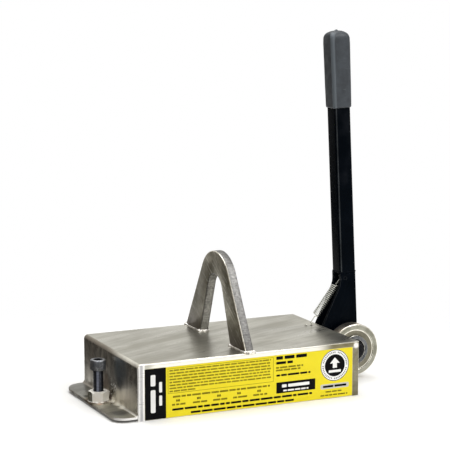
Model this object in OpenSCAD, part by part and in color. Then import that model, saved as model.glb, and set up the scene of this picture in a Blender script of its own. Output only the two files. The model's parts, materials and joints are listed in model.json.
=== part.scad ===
// Permanent lifting magnet with a bail on top, a long release lever at one end whose
// roller pries the magnet off its load, and a jack screw at the other end.
// Millimetres. X runs along the housing towards the lever, Y across it, Z up.
// The origin is the centre of the pole face, the flat underside that grips the load.

/* [Housing] */
// Length of the housing
housing_len = 330.2; // [280:0.1:380]
// Width of the housing
housing_wid = 203.2; // [180:0.1:230]
// Height of the housing
housing_h = 76.2; // [70:0.1:90]
// Thickness of the stainless sheet
sheet_t = 3; // [2:0.1:4]
// Outside radius of the bend between the top and the jack end
top_bend_r = 6; // [4.5:0.5:10]
// How far the flange at the jack end reaches out
flange_len = 31; // [31:0.25:40]
// Height of the flange's underside above the pole face
flange_gap = 3.5; // [2:0.5:6]
// Radius of the flange's front corner
flange_front_r = 18; // [4:1:27]
// Radius of the flange's back corner
flange_back_r = 27; // [4:1:27]

/* [Lifting bail] */
// Offset of the bail from the middle of the housing, along it
bail_x = -2; // [-6:0.5:6]
// Thickness of the bail plate
bail_t = 12.7; // [10:0.1:16]
// Height of the bail above the housing
bail_h = 123.2; // [110:0.1:150]
// Width of the bail across its feet
bail_base = 200.4; // [180:0.2:201]
// Radius of the outside of the crown
bail_crown_r = 49; // [42:0.5:52]
// Width of the opening at the bail's feet
eye_base = 100; // [80:1:110]
// Height of the opening above the housing
eye_h = 90.8; // [80:0.2:95]
// Radius of the opening under the crown, where the hook sits
eye_crown_r = 24.5; // [20:0.5:26]

/* [Magnet pack] */
// Rows of magnet blocks between the pole bars
magnet_rows = 4; // [3:1:4]
// Magnet blocks in each row
blocks_per_row = 3; // [2:1:4]
// Thickness of a magnet block
magnet_t = 25.4; // [20:0.2:26]
// Height of a magnet block
magnet_h = 50.8; // [44:0.2:51]
// Height of the pole bars
pole_h = 63.5; // [61:0.1:64]

/* [Lever] */
// Offset of the lever's middle plane from the housing's middle
lever_y = 18; // [14:1:24]
// Size of the square handle tube
tube_s = 25.4; // [23:0.1:26]
// Wall of the handle tube
tube_wall = 3; // [2:0.1:4]
// Outside radius of the tube's corners
tube_corner_r = 3.5; // [2.5:0.1:4.5]
// Lean of the lever towards the housing at rest, in degrees
lever_lean = 2.78; // [0:0.1:4]
// Length from the pivot to the top of the handle tube
handle_len = 461.8; // [300:0.1:600]
// Thickness of each yoke cheek
cheek_t = 4.76; // [4:0.01:5.5]
// Height above the pivot at which the yoke meets the tube
yoke_h = 120; // [112:1:130]

/* [Grip] */
// Length of the grip
grip_len = 108.6; // [80:0.1:160]
// Width of the grip across its flats
grip_s = 31.4; // [30:0.1:33]
// Radius of the grip's corners
grip_corner_r = 6; // [4:0.5:7]

/* [Roller] */
// Outside diameter of the roller bearing
roller_d = 75; // [66:0.5:76]
// Width of the roller bearing
roller_w = 19; // [17:0.5:20]
// Height of the roller's middle above the pole face at rest
roller_z = 43.1; // [42:0.1:48]
// Gap between the roller and the end wall at rest
roller_gap = 0.9; // [0.8:0.1:3]
// Distance from the pivot to the roller's middle
roller_offset = 24; // [24:0.5:26]
// Direction from the pivot to the roller's middle above the horizontal, in degrees
roller_angle = 32; // [30:1:38]
// Number of balls in the bearing
ball_count = 8; // [6:1:9]

/* [Jack screw] */
// Thread diameter of the jack screw
jack_d = 14.3; // [12:0.1:15]
// Length of the jack screw under its head
jack_len = 44.45; // [40:0.05:46]
// Height of the screw's tip above the pole face at rest
jack_tip_z = 5; // [4.5:0.1:8]
// Width of the jack nut across its flats
jack_nut_af = 25; // [22:0.5:25]
// Height of the jack nut
jack_nut_h = 14; // [10:0.5:15]

/* [Hidden] */
$fn = 96;
half_len = housing_len / 2;
half_wid = housing_wid / 2;
inner_len = housing_len - 2 * sheet_t;
inner_wid = housing_wid - 2 * sheet_t;
under_top = housing_h - sheet_t;
skin = 0.1;
hole_over = 1;

// Label and bail welds
label_t = 0.25;
label_left = 9.7;
label_right = 10.8;
label_low = 0.8;
label_high = 7;
bail_weld_r = 4;

// Magnet pack
pack_wid = inner_wid - 2 * skin;
pack_end_gap = 1;
pack_len = inner_len - 2 * pack_end_gap;
pole_t = (pack_wid - magnet_rows * magnet_t) / (magnet_rows + 1);
row_pitch = pole_t + magnet_t;
block_gap = 10;
block_len = (pack_len - (blocks_per_row - 1) * block_gap - 2 * pack_end_gap) / blocks_per_row;
block_pitch = block_len + block_gap;
magnet_sink = 3;
magnet_z = pole_h - magnet_sink - magnet_h;
filler_recess = 1;
rod_r = 4;
rod_heights = [magnet_z + 0.25 * magnet_h, magnet_z + 0.75 * magnet_h];
rod_xs = [for (i = [1:blocks_per_row - 1]) (i - blocks_per_row / 2) * block_pitch];
rod_nut_af = 13;
rod_nut_h = 6.5;
rod_recess = 7.4;
rod_bore_r = 9;
rod_end_gap = 0.5;

// Lever and roller
roller_r = roller_d / 2;
roller_x = half_len + roller_gap + roller_r;
pivot_x = roller_x - roller_offset * cos(roller_angle);
pivot_z = roller_z - roller_offset * sin(roller_angle);
cheek_out = tube_s / 2;
cheek_in = cheek_out - cheek_t;
tube_back = 41.2;
cheek_back = tube_back - 1;
tube_mid = tube_back - tube_s / 2;
pivot_r = 6.35;
bush_r = 7.94;
pivot_boss_r = 14;
bolt_boss_r = 15;
stop_gap = 0.4;
run_gap = 0.05;
lug_t = 4.75;
lug_r = 12;
lug_rise = 21;
lug_weld_rise = 20;
lug_weld_short = 3;
bush_flange_t = 1.2;
lug_gap = bush_flange_t + 0.15;
lug_in = cheek_out + lug_gap;
lug_out = lug_in + lug_t;
// The roller's middle in the lever's own leaning frame
bolt_u = roller_offset * cos(roller_angle - lever_lean);
bolt_w = roller_offset * sin(roller_angle - lever_lean);
// The housing's end wall in that frame, at the height where the lever comes to rest
stop_dx = half_len + stop_gap - pivot_x;
stop_top = [stop_dx, housing_h - pivot_z];
stop_low = [stop_dx, 0.55 * (housing_h - pivot_z)];
roller_lug_gap = 1.8;
roller_back = lever_y - lug_out - roller_lug_gap;
roller_mid_y = roller_back - roller_w / 2;
roller_front = roller_back - roller_w;

// Bearing
race_out_r = roller_r - 7.7;
race_in_r = 21.1;
bearing_bore_r = 15;
ball_pitch_r = (race_out_r + race_in_r) / 2;
ball_r = 6.15;
groove_r = ball_r + run_gap;
shield_t = 1;
shield_recess = 1.2;
ring_chamfer = 1.8;
cage_t = 3.4;
cage_side = 0.7;

// Fasteners
bolt_r = 6.35;
bolt_af = 19.05;
bolt_head_h = 8;
nut_h = 11.1;
washer_t = 2;
washer_r = 13.5;
spacer_r = 10;
bolt_play = 0.05;
bolt_end = 2;
// The washer sits a little inside the bearing's bore and presses on the bushing
washer_front = roller_front + 1 - washer_t;

// Return spring, from two holes in the top plate to a pin between the cheeks
spring_foot_back = 34.35;
spring_hook_x = pivot_x - spring_foot_back;
spring_hook_r = 4.5;
spring_wire_r = 0.8;
spring_r = 4.7;
spring_hole_r = 2.4;
spring_base = [spring_hook_x, housing_h + 0.1];
anchor_over_pivot = [17.8, 113];
anchor = [pivot_x, pivot_z] + anchor_over_pivot;
anchor_local = lean(anchor - [pivot_x, pivot_z]);
anchor_r = 2.5;
spring_span = norm(anchor - spring_base);
spring_tilt = atan2(anchor[0] - spring_base[0], anchor[1] - spring_base[1]);
coil_start = 19;
coil_short = 13;
coil_end = spring_span - coil_short;
coil_pitch = 1.5;
coil_turns = floor((coil_end - coil_start) / coil_pitch);

// Jack screw
jack_x = -half_len - flange_len / 2 - 1.2;
jack_r = jack_d / 2;
flange_top = flange_gap + sheet_t;
jack_head_r = 0.75 * jack_d;
jack_head_h = jack_d;
jack_nut_turn = -25;
fold_r = sheet_t + 0.5;
jack_hole_gap = 0.45;
jack_chamfer = 0.8;

// ---------- helpers ----------

// Points along an arc about c, from angle a0 to a1 in n steps
function arc(c, r, a0, a1, n) =
  [for (i = [0:n]) let (a = a0 + (a1 - a0) * i / n) c + r * [cos(a), sin(a)]];

// Angle at which a line from the point (b, 0) touches a circle of radius r whose top is at h
function touch(b, h, r) = acos(r / norm([b, h - r])) - atan2(h - r, b);

// A point given relative to the upright pivot, in the lever's leaning frame
function lean(p) = [
  p[0] * cos(lever_lean) + p[1] * sin(lever_lean),
  -p[0] * sin(lever_lean) + p[1] * cos(lever_lean)
];

// Extrudes a profile drawn in X and Z from y0 to y1
module along_y(y0, y1)
  translate([0, y1, 0]) rotate([90, 0, 0]) linear_extrude(y1 - y0) children();

// Extrudes a profile drawn in Y and Z from x0 to x1
module along_x(x0, x1)
  translate([x0, 0, 0]) rotate([90, 0, 90]) linear_extrude(x1 - x0) children();

// A round bar along Y
module rod_y(r, y0, y1)
  translate([0, y1, 0]) rotate([90, 0, 0]) cylinder(r = r, h = y1 - y0);

// A hexagonal bar along Y, af across its flats
module hex_y(af, y0, y1)
  translate([0, y1, 0]) rotate([90, 0, 0]) cylinder(r = af / sqrt(3), h = y1 - y0, $fn = 6);

// A square with rounded corners, centred
module round_square(s, r) {
  k = s / 2 - r;
  polygon(concat(
    arc([k, k], r, 0, 90, 8), arc([-k, k], r, 90, 180, 8),
    arc([-k, -k], r, 180, 270, 8), arc([k, -k], r, 270, 360, 8)));
}

// Places parts that are drawn about the pivot in the lever's leaning frame
module lever_frame()
  translate([pivot_x, lever_y, pivot_z]) rotate([0, -lever_lean, 0]) children();

// Places parts about the roller's axle
module roller_frame()
  translate([roller_x, roller_mid_y, roller_z]) children();

// Turns a ring section drawn in radius and width about the roller's axle
module ring_y()
  rotate([90, 0, 0]) rotate_extrude() children();

// ---------- housing ----------

// Side view of the folded sheet: flange, jack-end wall and top
module cover_profile() {
  low = [-half_len - fold_r, flange_top + fold_r];
  high = [-half_len + top_bend_r, housing_h - top_bend_r];
  polygon(concat(
    [[-half_len - flange_len, flange_gap]],
    arc(low, fold_r + sheet_t, -90, 0, 12),
    arc(high, top_bend_r - sheet_t, 180, 90, 12),
    [[half_len, under_top], [half_len, housing_h]],
    arc(high, top_bend_r, 90, 180, 12),
    arc(low, fold_r, 0, -90, 12),
    [[-half_len - flange_len, flange_top]]));
}

// Part of the folded sheet that lies outside the jack-end wall
module flange_profile()
  intersection() {
    cover_profile();
    translate([-half_len - flange_len - 1, 0]) square([flange_len + 1, housing_h / 2]);
  }

// Cuts a flange corner round, at the front for side -1 and at the back for side 1
module flange_corner_cut(side, r)
  translate([-half_len - flange_len, side * half_wid, flange_gap - 1])
    difference() {
      translate([-1, side > 0 ? -r : -1, 0]) cube([r + 1, r + 1, sheet_t + 2]);
      translate([r, -side * r, -1]) cylinder(r = r, h = sheet_t + 4);
    }

module spring_holes(r, z0, z1)
  for (side = [-1, 1])
    translate([spring_hook_x + side * spring_hook_r, lever_y, z0]) cylinder(r = r, h = z1 - z0);

module housing_cover()
  color([0.72, 0.71, 0.67])
    difference() {
      union() {
        along_y(-inner_wid / 2, inner_wid / 2) cover_profile();
        along_y(-half_wid, half_wid) flange_profile();
      }
      flange_corner_cut(-1, flange_front_r);
      flange_corner_cut(1, flange_back_r);
      translate([jack_x, 0, 0]) cylinder(r = jack_r + jack_hole_gap, h = flange_top + hole_over);
      spring_holes(spring_hole_r, under_top - hole_over, housing_h + hole_over);
    }

// Side plate, rounded where it follows the sheet's upper bend
module side_plate(y0)
  color([0.75, 0.74, 0.7])
    along_y(y0, y0 + sheet_t)
      polygon(concat(
        [[-half_len, 0], [half_len, 0], [half_len, housing_h]],
        arc([-half_len + top_bend_r, housing_h - top_bend_r], top_bend_r, 90, 180, 12)));

module side_plate_front() side_plate(-half_wid);

module side_plate_back() side_plate(half_wid - sheet_t);

module end_plate()
  color([0.68, 0.66, 0.62])
    translate([half_len - sheet_t, -inner_wid / 2, 0]) cube([sheet_t, inner_wid, under_top]);

// ---------- lifting bail ----------

// An arch that narrows upwards from a base of half-width b to a crown of radius r
module arch(b, h, r, below) {
  a = touch(b, h, r);
  polygon(concat([[b, -below], [b, 0]], arc([0, h - r], r, a, 180 - a, 32), [[-b, 0], [-b, -below]]));
}

module lifting_bail()
  color([0.55, 0.53, 0.48])
    translate([bail_x, 0, housing_h])
      along_x(-bail_t / 2, bail_t / 2)
        difference() {
          arch(bail_base / 2, bail_h, bail_crown_r, 0);
          arch(eye_base / 2, eye_h, eye_crown_r, 5);
        }

// A quarter-round fillet along Y in the corner between a plate and the top
module fillet_y(r, y0, y1, side)
  intersection() {
    rod_y(r, y0, y1);
    translate([side > 0 ? 0 : -r - 1, y0, 0]) cube([r + 1, y1 - y0, r + 1]);
  }

module bail_welds()
  color([0.78, 0.77, 0.74])
    for (foot = [-1, 1], side = [-1, 1])
      translate([bail_x + side * bail_t / 2, foot * (bail_base + eye_base) / 4, housing_h])
        fillet_y(bail_weld_r, -(bail_base - eye_base) / 4, (bail_base - eye_base) / 4, side);

// ---------- label ----------

module front_label()
  color([0.98, 0.88, 0.1])
    translate([-half_len + label_left, -half_wid - label_t, label_low])
      cube([housing_len - label_left - label_right, label_t, housing_h - label_low - label_high]);

// ---------- magnet pack ----------

// Fills the space over the magnets, clear of the sheet's bend and of the spring's hook
module spacer_plate() {
  start = -half_len + top_bend_r;
  pocket = [4 * spring_hook_r, 8, 6];
  color([0.6, 0.47, 0.3])
    difference() {
      translate([start, -pack_wid / 2, pole_h + skin])
        cube([pack_len / 2 - start, pack_wid, under_top - pole_h - 2 * skin]);
      translate([spring_hook_x - pocket[0] / 2, lever_y - pocket[1] / 2, under_top - pocket[2] + 1])
        cube(pocket);
    }
}

module rod_places()
  for (x = rod_xs, z = rod_heights) translate([x, 0, z]) children();

module pole_bars()
  color([0.45, 0.46, 0.47])
    difference() {
      for (i = [0:magnet_rows])
        translate([-pack_len / 2, -pack_wid / 2 + i * row_pitch, 0]) cube([pack_len, pole_t, pole_h]);
      rod_places() {
        rod_y(rod_r + skin, -half_wid, half_wid);
        rod_y(rod_bore_r, -half_wid, -pack_wid / 2 + rod_recess);
        rod_y(rod_bore_r, pack_wid / 2 - rod_recess, half_wid);
      }
    }

module magnet_blocks()
  color([0.2, 0.2, 0.21])
    for (row = [0:magnet_rows - 1], i = [0:blocks_per_row - 1])
      translate([
        (i - (blocks_per_row - 1) / 2) * block_pitch - block_len / 2,
        -pack_wid / 2 + pole_t + row * row_pitch,
        magnet_z
      ])
        cube([block_len, magnet_t, magnet_h]);

module filler_strips()
  color([0.7, 0.58, 0.32])
    for (row = [0:magnet_rows - 1])
      translate([-pack_len / 2, -pack_wid / 2 + pole_t + row * row_pitch, filler_recess])
        cube([pack_len, magnet_t, magnet_z - filler_recess - skin]);

module tie_rods()
  color([0.75, 0.75, 0.74])
    rod_places() rod_y(rod_r, -pack_wid / 2 + rod_end_gap, pack_wid / 2 - rod_end_gap);

module tie_rod_nuts()
  color([0.8, 0.8, 0.79])
    rod_places()
      for (side = [-1, 1])
        translate([0, side * (pack_wid / 2 - rod_recess + rod_nut_h / 2), 0])
          difference() {
            hex_y(rod_nut_af, -rod_nut_h / 2, rod_nut_h / 2);
            rod_y(rod_r, -rod_nut_h, rod_nut_h);
          }

// ---------- jack screw ----------

module jack_nut()
  color([0.85, 0.84, 0.82])
    translate([jack_x, 0, flange_top])
      difference() {
        rotate([0, 0, jack_nut_turn]) cylinder(r = jack_nut_af / sqrt(3), h = jack_nut_h, $fn = 6);
        translate([0, 0, -1]) cylinder(r = jack_r + run_gap, h = jack_nut_h + 2);
      }

// Bead round the nut's foot, ending where the sheet starts to bend up
module jack_nut_weld() {
  r = jack_nut_af / sqrt(3);
  color([0.62, 0.56, 0.48])
    difference() {
      translate([jack_x, 0, flange_top])
        rotate([0, 0, jack_nut_turn])
          difference() {
            cylinder(r1 = r + 1, r2 = r + 0.2, h = 1.8, $fn = 6);
            translate([0, 0, -1]) cylinder(r = r, h = 4, $fn = 6);
          }
      translate([-half_len - fold_r, -r - 2, flange_top - 1]) cube([fold_r + 1, 2 * r + 4, 4]);
    }
}

module jack_screw()
  color([0.16, 0.17, 0.19])
    translate([jack_x, 0, jack_tip_z])
      difference() {
        union() {
          cylinder(r1 = jack_r - jack_chamfer, r2 = jack_r, h = jack_chamfer);
          translate([0, 0, jack_chamfer]) cylinder(r = jack_r, h = jack_len - jack_chamfer);
          translate([0, 0, jack_len]) cylinder(r = jack_head_r, h = jack_head_h - jack_chamfer);
          translate([0, 0, jack_len + jack_head_h - jack_chamfer])
            cylinder(r1 = jack_head_r, r2 = jack_head_r - jack_chamfer, h = jack_chamfer);
        }
        translate([0, 0, jack_len + jack_head_h / 2])
          cylinder(r = 0.75 * jack_d / sqrt(3), h = jack_head_h, $fn = 6);
      }

// ---------- pivot on the end wall ----------

// Side view of a lug: welded to the wall on the left, round about the pivot on the right
module lug_profile() {
  wall = half_len - pivot_x;
  a = 180 - atan2(lug_rise, -wall) - acos(lug_r / norm([wall, lug_rise]));
  difference() {
    polygon(concat([[wall, -lug_rise]], arc([0, 0], lug_r, -a, a, 16), [[wall, lug_rise]]));
    circle(r = pivot_r);
  }
}

module lug(y0)
  color([0.5, 0.49, 0.46])
    translate([pivot_x, 0, pivot_z]) along_y(y0, y0 + lug_t) lug_profile();

module pivot_lug_front() lug(lever_y - lug_out);

module pivot_lug_back() lug(lever_y + lug_in);

// Upright quarter-round fillets in the outer corners between the lugs and the wall
module lug_fillet(r, y, side, z0, z1)
  translate([half_len, y, z0])
    intersection() {
      cylinder(r = r, h = z1 - z0);
      translate([0, side > 0 ? 0 : -r - 1, 0]) cube([r + 1, r + 1, z1 - z0]);
    }

module lug_welds()
  color([0.7, 0.68, 0.64]) {
    lug_fillet(2.2, lever_y - lug_out, -1, pivot_z - lug_weld_rise, pivot_z - lug_weld_short);
    lug_fillet(3, lever_y + lug_out, 1, pivot_z - lug_weld_rise, pivot_z + lug_weld_rise);
  }

module pivot_bolt()
  color([0.22, 0.22, 0.23])
    translate([pivot_x, lever_y, pivot_z]) {
      rod_y(pivot_r, -lug_out, lug_out);
      hex_y(bolt_af, lug_out, lug_out + bolt_head_h);
    }

// ---------- lever ----------

// Side view of a yoke cheek, about the pivot, in the leaning frame
module cheek_profile() {
  low = lean(stop_low);
  high = lean(stop_top);
  front = tube_back - tube_s;
  bend_r = 34;
  // The sloping edge runs from the stop up to the tube's front and is eased by bend_r
  knee = [front, yoke_h - 16];
  slope = atan2(knee[1] - high[1], knee[0] - high[0]);
  ease = bend_r * tan((90 - slope) / 2);
  polygon(concat(
    arc([0, 0], pivot_boss_r, 180, 300, 16),
    arc([bolt_u, bolt_w], bolt_boss_r, -60, 0, 10),
    [[cheek_back, bolt_w + 22], [cheek_back, yoke_h], [front, yoke_h]],
    arc(knee + [-bend_r, ease], bend_r, 0, slope - 90, 10),
    [high, low]));
}

module cheek(y0)
  color([0.07, 0.08, 0.11])
    lever_frame()
      difference() {
        along_y(y0, y0 + cheek_t) cheek_profile();
        rod_y(bush_r, -cheek_out - 1, cheek_out + 1);
        translate([bolt_u, 0, bolt_w]) rod_y(bolt_r + bolt_play, -cheek_out - 1, cheek_out + 1);
        translate([anchor_local[0], 0, anchor_local[1]]) rod_y(anchor_r, -cheek_out - 1, cheek_out + 1);
      }

module yoke_cheek_front() cheek(-cheek_out);

module yoke_cheek_back() cheek(cheek_in);

module yoke_web()
  color([0.08, 0.09, 0.12])
    lever_frame()
      translate([cheek_back - cheek_t, -cheek_in, bolt_w + 24])
        cube([cheek_t, 2 * cheek_in, yoke_h - bolt_w - 24]);

module pivot_bushings()
  color([0.72, 0.55, 0.3])
    translate([pivot_x, lever_y, pivot_z])
      for (side = [-1, 1])
        rotate([0, 0, side > 0 ? 0 : 180])
          difference() {
            union() {
              rod_y(bush_r, cheek_in, cheek_out);
              rod_y(bush_r + 2, cheek_out, cheek_out + bush_flange_t);
            }
            rod_y(pivot_r + run_gap, cheek_in - 1, cheek_out + bush_flange_t + 1);
          }

module handle_tube()
  color([0.05, 0.06, 0.09])
    lever_frame()
      translate([tube_mid, 0, yoke_h])
        linear_extrude(handle_len - yoke_h)
          difference() {
            round_square(tube_s, tube_corner_r);
            round_square(tube_s - 2 * tube_wall, 1);
          }

// Low bead around the tube where it stands on the yoke
module handle_weld()
  color([0.1, 0.11, 0.14])
    lever_frame()
      translate([tube_mid, 0, yoke_h])
        linear_extrude(2)
          difference() {
            round_square(tube_s + 2.4, tube_corner_r + 1.2);
            round_square(tube_s, tube_corner_r);
          }

module handle_grip()
  color([0.28, 0.3, 0.32])
    lever_frame()
      translate([tube_mid, 0, handle_len + 5 - grip_len]) {
        difference() {
          hull() {
            linear_extrude(grip_len - 9) round_square(grip_s, grip_corner_r);
            translate([0, 0, grip_len - 4]) linear_extrude(1) round_square(grip_s - 4, grip_corner_r);
            translate([0, 0, grip_len - 1]) linear_extrude(1) round_square(grip_s - 14, grip_corner_r);
          }
          translate([0, 0, -1]) linear_extrude(grip_len - 4) round_square(tube_s, tube_corner_r);
        }
        translate([0, 0, grip_len]) cylinder(r1 = 2.6, r2 = 1.2, h = 1.8);
      }

module spring_anchor_pin()
  color([0.5, 0.5, 0.5])
    translate([anchor[0], lever_y, anchor[1]]) rod_y(anchor_r, -cheek_out, cheek_out);

// ---------- return spring ----------

// Draws about the spring's own axis, from its lower hook at the origin upwards
module spring_frame()
  translate([spring_base[0], lever_y, spring_base[1]]) rotate([0, spring_tilt, 0]) children();

module spring_coil_section() {
  for (i = [0:coil_turns])
    translate([spring_r, coil_start + i * coil_pitch]) circle(r = spring_wire_r, $fn = 24);
  translate([spring_r - 0.25, coil_start]) square([0.5, coil_turns * coil_pitch]);
}

// A hook in the X and Z plane: an open ring of radius r about the local origin
module spring_hook(r, from, sweep)
  rotate([90, 0, 0])
    rotate([0, 0, from]) rotate_extrude(angle = sweep) translate([r, 0]) circle(r = spring_wire_r, $fn = 24);

module return_spring()
  color([0.78, 0.79, 0.78])
    spring_frame() {
      rotate_extrude() spring_coil_section();
      for (z = [coil_start, coil_start + coil_turns * coil_pitch])
        translate([0, 0, z - 0.5]) cylinder(r = spring_r, h = 1);
      translate([0, 0, spring_hook_r - 0.3])
        cylinder(r = spring_wire_r, h = coil_start - spring_hook_r);
      translate([0, 0, coil_start + coil_turns * coil_pitch])
        cylinder(r = spring_wire_r, h = spring_span - anchor_r - 1.1 - coil_start - coil_turns * coil_pitch);
      spring_hook(spring_hook_r, -175, 265);
      translate([0, 0, spring_span]) spring_hook(anchor_r + 0.9, -90, 290);
    }

// ---------- roller and its bolt ----------

module roller_bolt()
  color([0.12, 0.12, 0.13])
    translate([roller_x, 0, roller_z]) {
      hex_y(bolt_af, washer_front - bolt_head_h, washer_front);
      rod_y(bolt_r, washer_front, lever_y + cheek_out + nut_h + bolt_end);
    }

module roller_bolt_washer()
  color([0.16, 0.16, 0.17])
    translate([roller_x, 0, roller_z])
      difference() {
        rod_y(washer_r, washer_front, washer_front + washer_t);
        rod_y(bolt_r, washer_front - 1, washer_front + washer_t + 1);
      }

module roller_bushing()
  color([0.2, 0.2, 0.21])
    translate([roller_x, 0, roller_z])
      difference() {
        rod_y(bearing_bore_r, washer_front + washer_t, roller_back);
        rod_y(bolt_r, roller_front, roller_back + 1);
      }

module roller_spacer()
  color([0.6, 0.6, 0.6])
    translate([roller_x, 0, roller_z])
      difference() {
        rod_y(spacer_r, roller_back, lever_y - cheek_out);
        rod_y(bolt_r, roller_back - 1, lever_y - cheek_out + 1);
      }

module cheek_spacer()
  color([0.6, 0.6, 0.6])
    translate([roller_x, lever_y, roller_z])
      difference() {
        rod_y(spacer_r, -cheek_in, cheek_in);
        rod_y(bolt_r, -cheek_in - 1, cheek_in + 1);
      }

module roller_bolt_nut()
  color([0.3, 0.3, 0.31])
    translate([roller_x, lever_y, roller_z])
      difference() {
        hex_y(bolt_af, cheek_out, cheek_out + nut_h);
        rod_y(bolt_r, cheek_out - 1, cheek_out + nut_h + 1);
      }

// Section of a ball race groove at the middle of the bearing
module groove()
  translate([ball_pitch_r, 0]) circle(r = groove_r);

module bearing_inner_ring()
  color([0.5, 0.5, 0.48])
    roller_frame() ring_y()
      difference() {
        translate([bearing_bore_r, -roller_w / 2]) square([race_in_r - bearing_bore_r, roller_w]);
        groove();
      }

module bearing_outer_ring()
  color([0.66, 0.64, 0.58])
    roller_frame() ring_y()
      difference() {
        polygon([
          [race_out_r, -roller_w / 2], [roller_r - ring_chamfer, -roller_w / 2],
          [roller_r, -roller_w / 2 + ring_chamfer], [roller_r, roller_w / 2 - ring_chamfer],
          [roller_r - ring_chamfer, roller_w / 2], [race_out_r, roller_w / 2]
        ]);
        groove();
      }

module bearing_shields()
  color([0.5, 0.48, 0.4])
    roller_frame()
      for (side = [-1, 1])
        translate([0, side * (roller_w / 2 - shield_recess - shield_t / 2), 0])
          difference() {
            rod_y(race_out_r, -shield_t / 2, shield_t / 2);
            rod_y(race_in_r + 0.3, -shield_t, shield_t);
          }

module ball_places()
  for (i = [0:ball_count - 1])
    rotate([0, i * 360 / ball_count, 0]) translate([ball_pitch_r, 0, 0]) children();

module bearing_balls()
  color([0.85, 0.85, 0.86])
    roller_frame() ball_places() sphere(r = ball_r);

module bearing_cage()
  color([0.7, 0.6, 0.35])
    roller_frame()
      difference() {
        ring_y()
          translate([ball_pitch_r - cage_t / 2, -ball_r - cage_side])
            square([cage_t, 2 * (ball_r + cage_side)]);
        ball_places() rotate([0, 90, 0]) cylinder(r = ball_r + 0.1, h = 3 * cage_t, center = true);
      }

housing_cover();
side_plate_front();
side_plate_back();
end_plate();
lifting_bail();
bail_welds();
front_label();
spacer_plate();
pole_bars();
magnet_blocks();
filler_strips();
tie_rods();
tie_rod_nuts();
jack_nut();
jack_nut_weld();
jack_screw();
pivot_lug_front();
pivot_lug_back();
lug_welds();
pivot_bolt();
yoke_cheek_front();
yoke_cheek_back();
yoke_web();
pivot_bushings();
handle_tube();
handle_weld();
handle_grip();
spring_anchor_pin();
return_spring();
roller_bolt();
roller_bolt_washer();
roller_bushing();
roller_spacer();
cheek_spacer();
roller_bolt_nut();
bearing_inner_ring();
bearing_outer_ring();
bearing_shields();
bearing_balls();
bearing_cage();
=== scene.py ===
"""Looks of the lifting magnet: detailed pieces and procedural materials round the CAD frame.

Lengths are in metres in the row frame: +X towards the release lever, -Y the labelled side, +Z up.
"""

import json
import math
import random

import bmesh
import bpy
from mathutils import Matrix, Vector


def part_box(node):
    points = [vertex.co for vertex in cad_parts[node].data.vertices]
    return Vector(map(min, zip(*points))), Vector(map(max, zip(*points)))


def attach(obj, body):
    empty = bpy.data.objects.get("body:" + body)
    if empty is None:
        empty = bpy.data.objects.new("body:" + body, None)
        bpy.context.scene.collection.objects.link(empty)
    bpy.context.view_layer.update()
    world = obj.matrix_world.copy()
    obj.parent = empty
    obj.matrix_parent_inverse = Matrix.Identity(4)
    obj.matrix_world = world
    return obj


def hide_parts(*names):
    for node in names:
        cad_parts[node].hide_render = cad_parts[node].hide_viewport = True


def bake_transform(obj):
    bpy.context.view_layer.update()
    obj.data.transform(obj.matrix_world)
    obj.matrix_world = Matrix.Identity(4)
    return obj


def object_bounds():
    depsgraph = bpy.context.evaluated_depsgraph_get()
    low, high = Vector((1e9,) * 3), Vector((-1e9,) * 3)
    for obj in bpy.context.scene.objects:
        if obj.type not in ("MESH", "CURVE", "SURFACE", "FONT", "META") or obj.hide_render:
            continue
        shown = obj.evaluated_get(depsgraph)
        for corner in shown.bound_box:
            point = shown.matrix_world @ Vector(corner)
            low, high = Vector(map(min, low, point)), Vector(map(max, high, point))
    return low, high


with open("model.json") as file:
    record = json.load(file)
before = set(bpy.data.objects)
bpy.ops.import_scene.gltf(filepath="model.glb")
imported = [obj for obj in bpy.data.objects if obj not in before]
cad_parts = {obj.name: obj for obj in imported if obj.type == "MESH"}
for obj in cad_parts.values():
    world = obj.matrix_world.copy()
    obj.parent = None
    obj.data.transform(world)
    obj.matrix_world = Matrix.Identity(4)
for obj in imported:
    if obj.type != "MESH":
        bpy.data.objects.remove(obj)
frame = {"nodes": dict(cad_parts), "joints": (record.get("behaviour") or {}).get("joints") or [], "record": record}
CAD_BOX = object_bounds()

MM = 0.001
RECORD = frame["record"]
BODY = {n: b for b, nodes in RECORD["behaviour"]["bodies"].items() for n in nodes}
JOINT = {j["name"]: j for j in frame["joints"]}
ROLLER = Vector(JOINT["roller_spin"]["pos_m"])

random.seed(7)


# ---------------------------------------------------------------- mesh helpers


def cad_mesh(node, merge_deg=0.5):
    """The CAD node's surface as a clean bmesh with its flat faces merged."""
    source = frame["nodes"][node].data
    bm = bmesh.new()
    verts = [bm.verts.new(v.co) for v in source.vertices]
    for p in source.polygons:
        bm.faces.new([verts[i] for i in p.vertices])
    bmesh.ops.remove_doubles(bm, verts=bm.verts, dist=2e-6)
    bmesh.ops.dissolve_degenerate(bm, edges=bm.edges, dist=1e-7)
    bmesh.ops.dissolve_limit(bm, angle_limit=math.radians(merge_deg), verts=bm.verts,
        edges=bm.edges)
    bmesh.ops.recalc_face_normals(bm, faces=bm.faces)
    return bm


def soften(bm, width, segments=3, angle_deg=30, pick=None):
    """Rounds the edges sharper than angle_deg that pick() accepts."""
    limit = math.radians(angle_deg)
    sharp = [e for e in bm.edges if len(e.link_faces) == 2 and e.calc_face_angle(0) > limit and
        (pick is None or pick(e))]
    bmesh.ops.bevel(bm, geom=sharp, offset=width, offset_type="OFFSET", segments=segments,
        profile=0.5, affect="EDGES", clamp_overlap=True)
    return bm


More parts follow.
